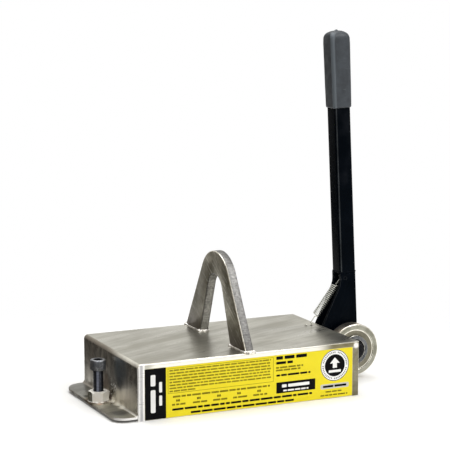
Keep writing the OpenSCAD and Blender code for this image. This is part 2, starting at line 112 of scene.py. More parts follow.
def piece(name, bm, nodes, materials, smooth_deg=40, body=None):
    """Makes a mesh object that stands for CAD nodes, rides on their body unless body is "blend", and hides the
    nodes.
    """
    nodes = [nodes] if isinstance(nodes, str) else list(nodes)
    materials = materials if isinstance(materials, (list, tuple)) else [materials]
    mesh = bpy.data.meshes.new(name)
    bm.to_mesh(mesh)
    bm.free()
    for m in materials:
        mesh.materials.append(m)
    mesh.shade_smooth()
    mesh.set_sharp_from_angle(angle=math.radians(smooth_deg))
    obj = bpy.data.objects.new(name, mesh)
    bpy.context.scene.collection.objects.link(obj)
    if body != "blend":
        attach(obj, body or BODY[nodes[0]])
    if nodes:
        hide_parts(*nodes)
    return obj


def rounded(points, radii, steps=5, closed=True):
    """A polyline whose corners are eased by arcs of the given radii."""
    out = []
    n = len(points)
    for i, p in enumerate(points):
        r = radii[i] if isinstance(radii, (list, tuple)) else radii
        if r <= 0 or (not closed and i in (0, n - 1)):
            out.append(tuple(p))
            continue
        p = Vector(p)
        a = Vector(points[i - 1]) - p
        b = Vector(points[(i + 1) % n]) - p
        turn = a.angle(b)
        reach = r / math.tan(turn / 2)
        start, end = p + a.normalized() * reach, p + b.normalized() * reach
        centre = p + (a.normalized() + b.normalized()).normalized() * (r / math.sin(turn / 2))
        for k in range(steps + 1):
            t = k / steps
            spot = (start - centre).lerp(end - centre, t)
            out.append(tuple(centre + spot.normalized() * r))
    return out


def revolve(profile, count, axis, centre, loop=False):
    """A surface turned about an axis ("y" or "z") through centre.

    Each profile row is (radius, height); either may be a function of the angle.
    """
    bm = bmesh.new()
    centre = Vector(centre)

    def at(value, a):
        return value(a) if callable(value) else value

    def spot(r, a, h):
        c, s = r * math.cos(a), r * math.sin(a)
        return centre + (Vector((c, h, s)) if axis == "y" else Vector((c, s, h)))

    angles = [2 * math.pi * i / count for i in range(count)]
    rows = []
    for radius, height in profile:
        if not callable(radius) and radius == 0:
            rows.append([bm.verts.new(spot(0, 0, at(height, 0)))] * count)
        else:
            rows.append([bm.verts.new(spot(at(radius, a), a, at(height, a))) for a in angles])
    for low, high in zip(rows, rows[1:] + ([rows[0]] if loop else [])):
        for i in range(count):
            j = (i + 1) % count
            corners = []
            for v in (low[i], low[j], high[j], high[i]):
                if v not in corners:
                    corners.append(v)
            if len(corners) > 2:
                bm.faces.new(corners)
    bmesh.ops.recalc_face_normals(bm, faces=bm.faces)
    return bm


def join(*parts):
    """All the given bmeshes as one."""
    whole = parts[0]
    for bm in parts[1:]:
        mesh = bpy.data.meshes.new("join")
        bm.to_mesh(mesh)
        bm.free()
        whole.from_mesh(mesh)
        bpy.data.meshes.remove(mesh)
    return whole


def tube_along(path, radius, normal=None, closed=False, sides=10):
    """A tube swept along points. radius is a number or a function of the index."""
    bm = bmesh.new()
    path = [Vector(p) for p in path]
    n = len(path)
    rings = []
    side = None
    for i, p in enumerate(path):
        before = path[i - 1] if (i or closed) else p
        after = path[(i + 1) % n] if (i < n - 1 or closed) else p
        along = (after - before).normalized()
        if normal is not None:
            up = Vector(normal)
            side = along.cross(up).normalized()
        else:
            if side is None:
                guess = Vector((0, 0, 1)) if abs(along.z) < 0.9 else Vector((1, 0, 0))
                side = along.cross(guess).normalized()
            side = (side - along * side.dot(along)).normalized()
        up = side.cross(along).normalized()
        r = radius(i) if callable(radius) else radius
        rings.append([bm.verts.new(p + side * r * math.cos(2 * math.pi * k / sides) + up * r *
                    math.sin(2 * math.pi * k / sides)) for k in range(sides)])
    spans = list(zip(rings, rings[1:]))
    if closed:
        spans.append((rings[-1], rings[0]))
    for a, b in spans:
        for k in range(sides):
            m = (k + 1) % sides
            bm.faces.new([a[k], a[m], b[m], b[k]])
    if not closed:
        bm.faces.new(rings[0][::-1])
        bm.faces.new(rings[-1])
    bmesh.ops.recalc_face_normals(bm, faces=bm.faces)
    return bm


def resample(points, step, closed):
    """Points at an even spacing along a polyline."""
    points = [Vector(p) for p in points] + ([Vector(points[0])] if closed else [])
    lengths = [(b - a).length for a, b in zip(points, points[1:])]
    total = sum(lengths)
    count = max(2, round(total / step))
    out, walked, seg = [], 0.0, 0
    for i in range(count if closed else count + 1):
        target = total * i / count
        while seg < len(lengths) - 1 and walked + lengths[seg] < target:
            walked += lengths[seg]
            seg += 1
        t = (target - walked) / lengths[seg]
        out.append(points[seg].lerp(points[seg + 1], min(max(t, 0), 1)))
    return out


def weld_bead(points, size, normal, closed=False, ripple=1.5 * MM, seed=1):
    """A rippled bead along points; size(t) is its radius at the share t of its length."""
    rng = random.Random(seed)
    path = resample(points, ripple / 4, closed)
    n = len(path)
    wobble = [rng.uniform(0.9, 1.08) for _ in range(n // 4 + 3)]

    def radius(i):
        share = i / (n - 1)
        scallop = 0.84 + 0.16 * abs(math.sin(math.pi * i / 4))
        lump = wobble[i // 4]
        end = 1.0
        if not closed:
            edge = min(i, n - 1 - i) / 4
            end = math.sqrt(min(1.0, edge / 2 + 0.05))
        return size(share) * scallop * lump * end

    return tube_along(path, radius, normal=normal, closed=closed)


def hex_radius(flat, a, turn=0.0):
    """Distance from the axis to the side of a hexagon at angle a; flat is half its width."""
    sector = math.pi / 3
    a = (a + turn) % sector - sector / 2
    return flat / math.cos(a)


def hex_body(flat, low, high, axis, centre, bore=0.0, both=True, turn=0.0, count=96):
    """A hexagon bar with its corners chamfered, and a bore if bore is above 0."""
    face_r = flat * 0.97
    slope = math.tan(math.radians(30))

    def side(a):
        return hex_radius(flat, a, turn)

    def drop(a):
        return (side(a) - face_r) * slope

    rows = []
    if bore:
        rows += [(bore, low + 0.6 * MM), (bore + 0.6 * MM, low)]
    else:
        rows += [(0, low)]
    if both:
        rows += [(face_r, low), (side, lambda a: low + drop(a))]
    else:
        rows += [(side, low)]
    rows += [(side, lambda a: high - drop(a)), (face_r, high)]
    if bore:
        rows += [(bore + 0.6 * MM, high), (bore, high - 0.6 * MM)]
    else:
        rows += [(0, high)]
    return revolve(rows, count, axis, centre, loop=bool(bore))


# ------------------------------------------------------------ material helpers


class Shader:
    """Builds one node material. Coordinates are the row frame's, in metres."""

    def __init__(self, name):
        self.material = bpy.data.materials.new(name)
        self.material.use_nodes = True
        self.tree = self.material.node_tree
        self.tree.nodes.clear()
        self.out = self.add("ShaderNodeOutputMaterial")
        self.bsdf = self.add("ShaderNodeBsdfPrincipled")
        self.tree.links.new(self.bsdf.outputs[0], self.out.inputs[0])
        self.where = self.add("ShaderNodeTexCoord").outputs["Object"]

    def add(self, kind, inputs=None, **props):
        n = self.tree.nodes.new(kind)
        for k, v in props.items():
            setattr(n, k, v)
        for k, v in (inputs or {}).items():
            self.put(n.inputs[k], v)
        return n

    def put(self, socket, value):
        if isinstance(value, bpy.types.NodeSocket):
            self.tree.links.new(value, socket)
        elif socket.type == "RGBA" and len(value) == 3:
            socket.default_value = (*value, 1)
        else:
            socket.default_value = value

    def set(self, **inputs):
        for k, v in inputs.items():
            self.put(self.bsdf.inputs[k.replace("_", " ")], v)
        return self

    def stretch(self, scale, turn=(0, 0, 0)):
        """Coordinates turned and then scaled, for textures with a direction."""
        turned = self.add("ShaderNodeMapping", {"Vector": self.where, "Rotation": turn},
            vector_type="TEXTURE")
        return self.add("ShaderNodeMapping", {"Vector": turned.outputs[0], "Scale":
                scale}).outputs[0]

    def noise(self, scale, detail=4, rough=0.55, vector=None, distortion=0.0):
        return self.add("ShaderNodeTexNoise", {"Vector": vector or self.where, "Scale": scale,
                "Detail": detail, "Roughness": rough, "Distortion": distortion}).outputs[0]

    def spread(self, value, low, high, to_low=0.0, to_high=1.0):
        """Maps low..high to to_low..to_high, smoothly and clamped."""
        return self.add("ShaderNodeMapRange", {0: value, 1: low, 2: high, 3: to_low, 4: to_high},
            interpolation_type="SMOOTHSTEP").outputs[0]

    def math(self, op, a, b=0.0):
        return self.add("ShaderNodeMath", {0: a, 1: b}, operation=op).outputs[0]

    def times(self, a, b):
        return self.math("MULTIPLY", a, b)

    def plus(self, a, b):
        return self.math("ADD", a, b)

    def minus(self, a, b):
        return self.math("SUBTRACT", a, b)

    def blend(self, factor, a, b, mode="MIX"):
        n = self.add("ShaderNodeMix", data_type="RGBA", blend_type=mode)
        self.put(n.inputs[0], factor)
        self.put(n.inputs[6], a)
        self.put(n.inputs[7], b)
        return n.outputs[2]

    def axis(self, name):
        split = self.add("ShaderNodeSeparateXYZ", {0: self.where})
        return split.outputs["XYZ".index(name)]

    def distance_to(self, point):
        return self.add("ShaderNodeVectorMath", {0: self.where, 1: tuple(point)},
            operation="DISTANCE").outputs["Value"]

    def facing(self, name):
        """How far the surface faces along a row axis at rest, from -1 to 1."""
        n = self.add("ShaderNodeNewGeometry")
        split = self.add("ShaderNodeSeparateXYZ", {0: n.outputs["True Normal"]})
        return split.outputs["XYZ".index(name)]

    def bump(self, height, distance, strength=1.0, below=None):
        inputs = {"Height": height, "Distance": distance, "Strength": strength}
        if below is not None:
            inputs["Normal"] = below
        return self.add("ShaderNodeBump", inputs).outputs[0]


def steel(name, light, dark, rough=(0.26, 0.42), grain=(400, 8, 400), turn=(0, 0, 0), cloud=14,
    grain_depth=0.02 * MM, metallic=1.0):
    """Bare metal: a cloudy tone, brushed grain and uneven gloss."""
    s = Shader(name)
    clouds = s.noise(cloud, detail=5, rough=0.6, distortion=0.4)
    lines = s.noise(1.0, detail=6, rough=0.7, vector=s.stretch(grain, turn))
    tone = s.spread(s.plus(s.times(clouds, 0.65), s.times(lines, 0.35)), 0.35, 0.65)
    s.set(Base_Color=s.blend(tone, dark, light), Metallic=metallic,
        Roughness=s.spread(s.plus(s.times(clouds, 0.5), s.times(lines, 0.5)), 0.3, 0.7, rough[1],
            rough[0]), Normal=s.bump(lines, grain_depth, 0.6))
    return s


# ------------------------------------------------------------------- materials

NUT_LOW, NUT_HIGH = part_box("jack_nut")
NUT = Vector(((NUT_LOW.x + NUT_HIGH.x) / 2, (NUT_LOW.y + NUT_HIGH.y) / 2, NUT_LOW.z))
TOP_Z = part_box("housing_cover")[1].z
FRONT_LO, FRONT_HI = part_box("side_plate_front")
WALL_X = FRONT_LO.x


def housing_material():
    s = Shader("stainless_housing")
    streak_turn = (0, 0, math.radians(22))
    cloud = s.noise(9, detail=4, rough=0.55, distortion=0.6)
    streak = s.noise(1.0, detail=5, rough=0.62, vector=s.stretch((7, 60, 60), streak_turn))
    lines = s.noise(1.0, detail=6, rough=0.75, vector=s.stretch((16, 900, 900), (0, 0, 0)))
    tone = s.spread(s.plus(s.times(cloud, 0.45), s.times(streak, 0.55)), 0.36, 0.64)
    base = s.blend(tone, (0.40, 0.385, 0.325), (0.68, 0.665, 0.595))
    # Several of the masks below paint light and shade in fixed places. They suit the scene's own
    # camera, and under another light they read as paint.
    # Painted shade on the wall behind the jack screw: a darker, patchy tone
    wall = s.spread(s.facing("X"), -0.25, -0.85)
    patchy_noise = s.noise(38, detail=6, rough=0.65, distortion=1.1)
    upright_streaks = s.noise(1.0, detail=4, rough=0.6, vector=s.stretch((50, 70, 14)))
    wall_light_and_shade = s.blend(s.spread(s.plus(s.times(patchy_noise, 0.5), s.times(upright_streaks, 0.5)), 0.38, 0.64), (0.15,
            0.14, 0.115), (0.70, 0.665, 0.59))
    # Painted light: lighter towards the front and the foot of the wall
    glow = s.times(s.spread(s.axis("Y"), 10 * MM, -95 * MM), s.spread(s.axis("Z"), TOP_Z
            - 18 * MM, 12 * MM))
    wall_light_and_shade = s.blend(s.times(glow, 0.75), wall_light_and_shade, (0.88, 0.83, 0.72))
    base = s.blend(wall, base, wall_light_and_shade)
    # Painted light and shade in patches on the wall: a bluish reflection, brown and grey-brown shade, and a pale
    # patch of light low towards the front
    for spot, reach, colour, strength in (((WALL_X, -40 * MM, 56 * MM), 34 * MM, (0.15, 0.20,
                0.235), 0.85), ((WALL_X, 14 * MM, 27 * MM), 20 * MM, (0.26, 0.15, 0.08), 0.8),
        ((WALL_X, 60 * MM, 50 * MM), 34 * MM, (0.30, 0.255, 0.20), 0.6), ((WALL_X, -66 * MM, 27 *
                MM), 30 * MM, (0.95, 0.92, 0.84), 0.7)):
        patch = s.times(s.spread(s.distance_to(spot), reach * 0.25, reach, strength,
                0.0), s.times(wall, s.spread(upright_streaks, 0.30, 0.62, 0.35, 1.0)))
        base = s.blend(patch, base, colour)
    # Painted light and shade on the front's bare margins: a white highlight and a grey band at the left, a bright
    # painted strip above the label shaded brown towards its right end, and a brown shade and a white corner
    # highlight at the right end
    front = s.spread(s.facing("Y"), -0.5, -0.95)
    band = s.spread(s.math("ABSOLUTE", s.minus(s.axis("X"), FRONT_LO.x + 5.2 * MM)), 1.2
        * MM, 2.6 * MM, 0.9, 0.0)
    margin = s.times(s.spread(s.facing("Y"), -0.15, -0.5), s.spread(s.axis("X"),
            FRONT_LO.x + 10.5 * MM, FRONT_LO.x + 9.5 * MM))
    base = s.blend(margin, base, (0.97, 0.96, 0.94))
    base = s.blend(s.times(front, band), base, (0.48, 0.48, 0.50))
    strip = s.times(s.spread(s.axis("Z"), TOP_Z - 7.2 * MM, TOP_Z - 6.2 * MM),
        s.spread(s.axis("X"), FRONT_LO.x + 12 * MM, FRONT_LO.x + 26 * MM))
    strip = s.times(front, strip)
    right_end = s.spread(s.axis("X"), 95 * MM, 128 * MM)
    left_part = s.spread(s.axis("X"), 125 * MM, 95 * MM)
    base = s.blend(s.times(strip, right_end), base, (0.42, 0.38, 0.25), mode="MULTIPLY")
    bright_strip = s.times(strip, left_part)
    base = s.blend(s.times(bright_strip, 0.9), base, (0.97, 0.95, 0.86))
    right_end_shade = s.spread(s.axis("X"), FRONT_HI.x - 12 * MM, FRONT_HI.x - 9.5 * MM, 0.0, 0.92)
    right_end_shade = s.times(right_end_shade, s.spread(s.axis("Z"), TOP_Z - 10 * MM, TOP_Z - 5 * MM, 1.0, 0.0))
    right_end_shade = s.times(right_end_shade, s.spread(patchy_noise, 0.25, 0.6, 1.0, 0.82))
    base = s.blend(s.times(front, right_end_shade), base, (0.105, 0.088, 0.030))
    corner = s.spread(s.distance_to((FRONT_HI.x - 5 * MM, FRONT_LO.y, TOP_Z - 5 * MM)), 2 * MM, 5.5
        * MM, 0.9, 0.0)
    base = s.blend(corner, base, (0.97, 0.96, 0.92))
    # Painted shade: the flange darkens towards its back end. Painted light and shade on the bend over the wall:
    # cream at the front, dark brown at the back
    flange = s.times(s.spread(s.facing("Z"), 0.2, 0.6), s.spread(s.axis("X"), WALL_X - 1
            * MM, WALL_X - 4 * MM))
    shade = s.blend(s.spread(s.axis("Y"), -60 * MM, 70 * MM), (1.0, 1.0, 0.97), (0.34, 0.34, 0.34))
    base = s.blend(flange, base, s.blend(1.0, base, shade, mode="MULTIPLY"))
    bend = s.times(s.times(s.spread(s.facing("Z"), 0.10, 0.3), s.spread(s.facing("X"), -0.15,
                -0.4)), s.spread(s.axis("X"), WALL_X + 7 * MM, WALL_X + 6 * MM))
    rim = s.blend(s.spread(s.axis("Y"), 20 * MM, -60 * MM), (0.26, 0.22, 0.17), (0.97, 0.94, 0.84))
    base = s.blend(s.times(bend, s.spread(streak, 0.3, 0.6, 0.6, 0.95)), base, rim)
    # Straw, brown and dark brown rings of tone round the nut's foot, paling with distance
    away = s.plus(s.distance_to(NUT), s.times(s.minus(patchy_noise, 0.5), 0.012))
    tint = s.add("ShaderNodeValToRGB")
    tint.color_ramp.elements[0].position = 0.0
    tint.color_ramp.elements[0].color = (0.80, 0.70, 0.52, 1)
    tint.color_ramp.elements[1].position = 1.0
    tint.color_ramp.elements[1].color = (1, 1, 1, 1)
    for where, colour in ((0.42, (0.62, 0.46, 0.28)), (0.52, (0.16, 0.10, 0.06)), (0.60, (0.55,
                0.43, 0.33)), (0.76, (0.86, 0.80, 0.68))):
        e = tint.color_ramp.elements.new(where)
        e.color = (*colour, 1)
    s.put(tint.inputs[0], s.spread(away, 0.004, 0.030))
    base = s.blend(1.0, base, tint.outputs[0], mode="MULTIPLY")
    # Round the nut: cream patches of painted light on the wall and the flange, made matt with the margin
    # highlights so that they stay bright; a pink mark, a dark grey patch on the flange's front, a black patch
    # behind the nut, and dark brown marks on the wall and flange
    cream, dark_brown, blackish = (0.98, 0.94, 0.82), (0.055, 0.032, 0.014), (0.025, 0.025, 0.018)
    foot_z = NUT.z
    matt = s.plus(margin, corner)
    for x, y, z, reach, colour, strength in ((WALL_X, -30 * MM, 20 * MM, 13 * MM, cream, 0.45),
        (WALL_X, -50 * MM, 27 * MM, 12 * MM, cream, 0.4), (WALL_X, -14 * MM, foot_z, 11 * MM, cream,
            0.9), (WALL_X, -32 * MM, foot_z, 10 * MM, cream, 0.8), (WALL_X, -50 * MM, foot_z, 10 *
            MM, cream, 0.8), (WALL_X, 7 * MM, 14 * MM, 8 * MM, cream, 0.85), (NUT.x - 5 * MM, -19 *
            MM, foot_z, 6 * MM, (0.85, 0.60, 0.46), 0.8), (NUT.x - 5 * MM, 27 * MM, foot_z, 9 * MM,
            blackish, 0.85), (NUT.x + 2 * MM, -72 * MM, foot_z, 17 * MM, (0.10, 0.10, 0.10), 0.7),
        (WALL_X, -10 * MM, 20 * MM, 5 * MM, dark_brown, 1.0), (WALL_X, -5.5 * MM, 14.5 * MM, 5 * MM,
            dark_brown, 1.0), (WALL_X, -3 * MM, 9.5 * MM, 5 * MM, dark_brown, 1.0), (WALL_X - 5 * MM, -6 *
            MM, foot_z, 5 * MM, dark_brown, 1.0), (WALL_X - 12 * MM, -11 * MM, foot_z, 4.5 * MM, dark_brown,
            0.9)):
        away = s.plus(s.distance_to((x, y, z)), s.times(s.minus(patchy_noise, 0.5), 0.006))
        mask = s.spread(away, reach * 0.35, reach, strength, 0.0)
        base = s.blend(mask, base, colour)
        if colour is cream:
            matt = s.plus(matt, mask)
    spatter = s.noise(420, detail=2, rough=0.6)
    near_spot = s.spread(s.distance_to((WALL_X, -15 * MM, 26 * MM)), 5 * MM, 17 * MM, 1.0, 0.0)
    dark_dots = s.times(near_spot, s.spread(spatter, 0.46, 0.40))
    pale_dots = s.times(near_spot, s.spread(spatter, 0.58, 0.63))
    base = s.blend(dark_dots, base, blackish)
    base = s.blend(pale_dots, base, (1.0, 1.0, 0.98))
    matt = s.math("MINIMUM", s.plus(matt, pale_dots), 1.0)
    s.set(Base_Color=base, Metallic=s.minus(1.0, s.times(matt, 0.7)),
        Roughness=s.spread(s.plus(s.times(streak, 0.6), s.times(lines, 0.4)), 0.3, 0.7, 0.40, 0.24),
        Normal=s.bump(lines, 0.012 * MM, 0.6, below=s.bump(streak, 0.10 * MM, 0.5)))
    return s.material


def bail_face_material():
    """Hot-rolled plate with diagonal handling scratches, with painted shade: darker on the far leg and dark brown
    low down by the welds.
    """
    s = Shader("bail_plate_face")
    patches = s.noise(30, detail=6, rough=0.65, distortion=0.5)
    fine = s.noise(900, detail=3, rough=0.6)
    scratch = s.noise(1.0, detail=3, rough=0.8, vector=s.stretch((120, 22, 380), (math.radians(34),
                0, 0)))
    scratches = s.spread(scratch, 0.55, 0.64)
    tone = s.spread(patches, 0.36, 0.66)
    base = s.blend(tone, (0.24, 0.225, 0.17), (0.50, 0.475, 0.385))
    base = s.blend(s.times(scratches, 0.75), base, (0.86, 0.83, 0.74))
    # Painted shade: the far leg darker
    far_leg = s.spread(s.axis("Y"), 20 * MM, 60 * MM, 0.0, 0.45)
    base = s.blend(far_leg, base, (0.16, 0.155, 0.13))
    # Painted shade: dark brown low down, towards the feet
    low = s.spread(s.axis("Z"), TOP_Z, TOP_Z + 0.045, 0.80, 0.0)
    base = s.blend(low, base, (0.075, 0.058, 0.050))
    s.set(Base_Color=base, Metallic=1.0, Roughness=s.spread(patches, 0.3, 0.7, 0.50, 0.36),
        Normal=s.bump(fine, 0.02 * MM, 0.5, below=s.bump(patches, 0.15 * MM, 0.4)))
    return s.material


def bail_edge_material():
    """Ground torch-cut edge: light, speckled, with fine marks across the thickness."""
    s = Shader("bail_cut_edge")
    marks = s.noise(1.0, detail=5, rough=0.7, vector=s.stretch((30, 700, 700)))
    speckle = s.noise(420, detail=4, rough=0.7)
    tone = s.spread(s.plus(s.times(marks, 0.5), s.times(speckle, 0.5)), 0.36, 0.64)
    s.set(Base_Color=s.blend(tone, (0.105, 0.103, 0.10), (0.275, 0.27, 0.262)), Metallic=1.0,
        Roughness=s.spread(speckle, 0.3, 0.7, 0.52, 0.34), Normal=s.bump(marks, 0.06 * MM, 0.6,
            below=s.bump(speckle, 0.05 * MM, 0.5)))
    return s.material


def bail_rim_material():
    """The rim between the plate's faces and its cut edge, pale as a painted highlight."""
    s = Shader("bail_rim_highlight")
    rim_noise = s.noise(240, detail=5, rough=0.65)
    s.set(Base_Color=s.blend(s.spread(rim_noise, 0.36, 0.62), (0.62, 0.59, 0.50), (1.0, 0.97, 0.86)),
        Metallic=1.0, Roughness=s.spread(rim_noise, 0.3, 0.7, 0.42, 0.26), Normal=s.bump(rim_noise, 0.05 * MM,
            0.5))
    return s.material


def weld_material():
    s = Shader("weld_metal")
    blotch = s.noise(260, detail=4, rough=0.6, distortion=0.8)
    blackish = s.spread(s.noise(150, detail=3), 0.52, 0.66)
    base = s.blend(s.spread(blotch, 0.32, 0.56), (0.50, 0.45, 0.37), (1.0, 0.98, 0.94))
    base = s.blend(s.times(blackish, 0.7), base, (0.07, 0.055, 0.045))
    s.set(Base_Color=base, Metallic=1.0, Roughness=s.spread(blotch, 0.3, 0.7, 0.36, 0.22),
        Normal=s.bump(blotch, 0.12 * MM, 0.6))
    return s.material


def paint_material(name, edge_highlight):
    """Gloss black paint over steel, with orange peel, dust specks, worn edges and a painted highlight down one
    corner.
    """
    s = Shader(name)
    peel = s.noise(520, detail=2, rough=0.5)
    dust = s.spread(s.noise(1400, detail=2), 0.70, 0.78)
    film = s.noise(24, detail=4)
    base = s.blend(s.spread(film, 0.3, 0.7), (0.0005, 0.0014, 0.0028), (0.0012, 0.0026, 0.0050))
    base = s.blend(s.times(dust, 0.10), base, (0.05, 0.05, 0.06))
    # Painted highlight down the corner between the front and the housing's side
    corner = s.times(s.spread(s.facing("X"), -0.12, -0.28), s.spread(s.facing("X"), -0.72, -0.52))
    corner = s.times(corner, s.spread(s.facing("Y"), -0.3, -0.6))
    base = s.blend(s.times(corner, s.spread(film, 0.3, 0.6, 0.5 * edge_highlight, edge_highlight)), base,
        (0.050, 0.055, 0.060))
    geo = s.add("ShaderNodeNewGeometry")
    worn = s.spread(s.plus(geo.outputs["Pointiness"], s.times(s.minus(film, 0.5), 0.10)), 0.56,
        0.66)
    base = s.blend(s.times(worn, 0.30), base, (0.10, 0.10, 0.11))
    s.set(Base_Color=base, Metallic=0.0, Roughness=s.spread(film, 0.3, 0.7, 0.26, 0.16),
        Normal=s.bump(peel, 0.03 * MM, 0.4))
    s.set(Specular_IOR_Level=0.02)
    return s.material


def grip_material():
    """Dipped vinyl: satin dark grey with a fine skin texture and a little mottling."""
    s = Shader("grip_vinyl_skin")
    mottle = s.noise(70, detail=5, rough=0.6)
    skin = s.noise(1500, detail=3, rough=0.6)
    scuff = s.spread(s.noise(1.0, detail=4, vector=s.stretch((90, 90, 500))), 0.62, 0.75)
    base = s.blend(s.spread(mottle, 0.3, 0.7), (0.020, 0.025, 0.032), (0.037, 0.045, 0.055))
    # Painted highlight on the side turned towards the front left
    side = s.times(s.spread(s.facing("X"), -0.15, -0.5), s.spread(s.facing("Y"), -0.05, -0.25))
    base = s.blend(side, base, (0.115, 0.135, 0.155))
    base = s.blend(s.times(scuff, 0.3), base, (0.15, 0.16, 0.165))
    s.set(Base_Color=base, Roughness=s.spread(mottle, 0.3, 0.7, 0.58, 0.42), Normal=s.bump(skin,
            0.03 * MM, 0.5, below=s.bump(mottle, 0.20 * MM, 0.4)))
    s.set(Specular_IOR_Level=0.5)
    return s.material


def bare(*colours, **looks):
    return steel(*colours, **looks).material


def oxide_material(name, dark, light, edge, rough):
    s = Shader(name)
    patina = s.noise(180, detail=5, rough=0.6)
    geo = s.add("ShaderNodeNewGeometry")
    worn = s.spread(geo.outputs["Pointiness"], 0.54, 0.64)
    base = s.blend(s.spread(patina, 0.3, 0.7), dark, light)
    base = s.blend(s.times(worn, 0.5), base, edge)
    s.set(Base_Color=base, Metallic=0.85, Roughness=s.spread(patina, 0.3, 0.7, rough + 0.08, rough -
            0.06), Normal=s.bump(patina, 0.02 * MM, 0.5))
    return s.material


def vinyl_material(name, colour, second, shine=0.3):
    s = Shader(name)
    film = s.noise(40, detail=4)
    skin = s.noise(1100, detail=2)
    dust = s.spread(s.noise(600, detail=3), 0.66, 0.78)
    base = s.blend(s.spread(film, 0.3, 0.7), second, colour)
    base = s.blend(s.times(dust, 0.12), base, tuple(c * 0.7 for c in colour))
    s.set(Base_Color=base, Roughness=s.spread(film, 0.3, 0.7, 0.46, 0.34), Normal=s.bump(skin, 0.01
            * MM, 0.4, below=s.bump(film, 0.08 * MM, 0.3)))
    s.set(Specular_IOR_Level=shine)
    return s.material


def spring_material():
    """Zinc-plated wire, darkened between the coils as painted shade."""
    s = Shader("spring_zinc_wire")
    haze = s.noise(300, detail=3)
    # Painted shade where the coils crowd each other
    shelter = s.add("ShaderNodeAmbientOcclusion", {"Distance": 2.2 * MM}, samples=8)
    open_share = s.spread(shelter.outputs["AO"], 0.55, 0.95)
    wire = s.blend(s.spread(haze, 0.3, 0.7), (0.60, 0.61, 0.56), (0.86, 0.86, 0.80))
    s.set(Base_Color=s.blend(open_share, (0.02, 0.02, 0.018), wire), Metallic=0.9,
        Roughness=s.spread(haze, 0.3, 0.7, 0.34, 0.20), Normal=s.bump(haze, 0.01 * MM, 0.4))
    return s.material


def wood_material():
    s = Shader("sealed_plywood")
    plies = s.add("ShaderNodeTexWave", {"Vector": s.where, "Scale": 330.0, "Distortion": 1.0,
            "Detail": 3.0}, bands_direction="Z").outputs[1]
    grain = s.noise(1.0, detail=6, rough=0.7, vector=s.stretch((12, 260, 260)))
    base = s.blend(plies, (0.36, 0.24, 0.13), (0.56, 0.42, 0.27))
    base = s.blend(s.times(grain, 0.5), base, (0.26, 0.17, 0.09))
    s.set(Base_Color=base, Roughness=s.spread(grain, 0.3, 0.7, 0.7, 0.5), Normal=s.bump(grain, 0.1 *
            MM, 0.5))
    return s.material


def ferrite_material():
    s = Shader("ferrite_ceramic")
    grain = s.noise(700, detail=4, rough=0.65)
    chips = s.noise(120, detail=4)
    s.set(Base_Color=s.blend(s.spread(chips, 0.3, 0.7), (0.030, 0.030, 0.033), (0.070, 0.068,
                0.070)), Metallic=0.25, Roughness=s.spread(grain, 0.3, 0.7, 0.75, 0.55),
        Normal=s.bump(grain, 0.05 * MM, 0.5))
    return s.material


HOUSING = housing_material()
BAIL_FACE = bail_face_material()
BAIL_EDGE = bail_edge_material()
BAIL_RIM = bail_rim_material()
WELD = weld_material()
PAINT = paint_material("lever_black_paint", 1.0)
OXIDE_DARK = oxide_material("black_oxide_bolt", (0.004, 0.004, 0.005), (0.013, 0.013, 0.015), (0.30,
        0.30, 0.31), 0.30)
PAINT_PLAIN = paint_material("joint_black_paint", 0.0)
GRIP = grip_material()
OXIDE = oxide_material("black_oxide_finish", (0.012, 0.013, 0.018), (0.034, 0.037, 0.050), (0.20,
        0.21, 0.24), 0.32)
# A lighter copy of the black oxide for the jack screw's head, standing for painted light on it
OXIDE_LIT_HEAD = oxide_material("black_oxide_lit_head", (0.15, 0.16, 0.18), (0.36, 0.37, 0.39), (0.70, 0.71,
        0.73), 0.30)
LABEL = vinyl_material("label_yellow_vinyl", (0.80, 0.67, 0.011), (0.77, 0.64, 0.009))
INK = vinyl_material("label_black_ink", (0.002, 0.002, 0.003), (0.004, 0.004, 0.005), shine=0.05)
INK_SOFT = vinyl_material("label_small_print", (0.05, 0.04, 0.004), (0.07, 0.055, 0.005), shine=0.1)
WHITE = vinyl_material("label_white_ink", (0.86, 0.86, 0.85), (0.80, 0.80, 0.79))
SILVER = vinyl_material("label_grey_ink", (0.56, 0.55, 0.50), (0.50, 0.49, 0.45))
WOOD = wood_material()
FERRITE = ferrite_material()
POLE = bare("pole_ground_steel", (0.52, 0.52, 0.52), (0.30, 0.30, 0.31), grain=(10, 500, 500),
    cloud=30)
FILLER = bare("filler_aluminium", (0.80, 0.79, 0.77), (0.62, 0.62, 0.61), grain=(12, 400, 400),
    cloud=22)
ZINC = bare("zinc_plate", (0.80, 0.81, 0.80), (0.58, 0.60, 0.60), rough=(0.18, 0.32), grain=(300,
        300, 300), cloud=90)
SPRING = spring_material()
LUG_STEEL = bare("lug_plate", (0.42, 0.39, 0.34), (0.25, 0.22, 0.18), rough=(0.34, 0.50),
    grain=(200, 60, 200), cloud=50)
BRONZE = bare("sintered_bronze", (0.66, 0.46, 0.22), (0.45, 0.29, 0.13), rough=(0.34, 0.5),
    grain=(700, 700, 700), cloud=200)
RING = bare("bearing_ring_steel", (0.34, 0.335, 0.28), (0.22, 0.215, 0.17), rough=(0.14, 0.26),
    grain=(60, 60, 60), cloud=60, grain_depth=0.004 * MM)
# Painted highlight for the bearing's rounded edges and the shields' curled rims
RIM_HIGHLIGHT = bare("bearing_bright_rim", (0.95, 0.93, 0.84), (0.70, 0.67, 0.58), rough=(0.16, 0.28),
    grain=(60, 60, 60), cloud=60, grain_depth=0.004 * MM)
TREAD = bare("bearing_tread", (1.0, 0.93, 0.82), (0.42, 0.36, 0.27), rough=(0.24, 0.40), grain=(60,
        900, 60), cloud=70)
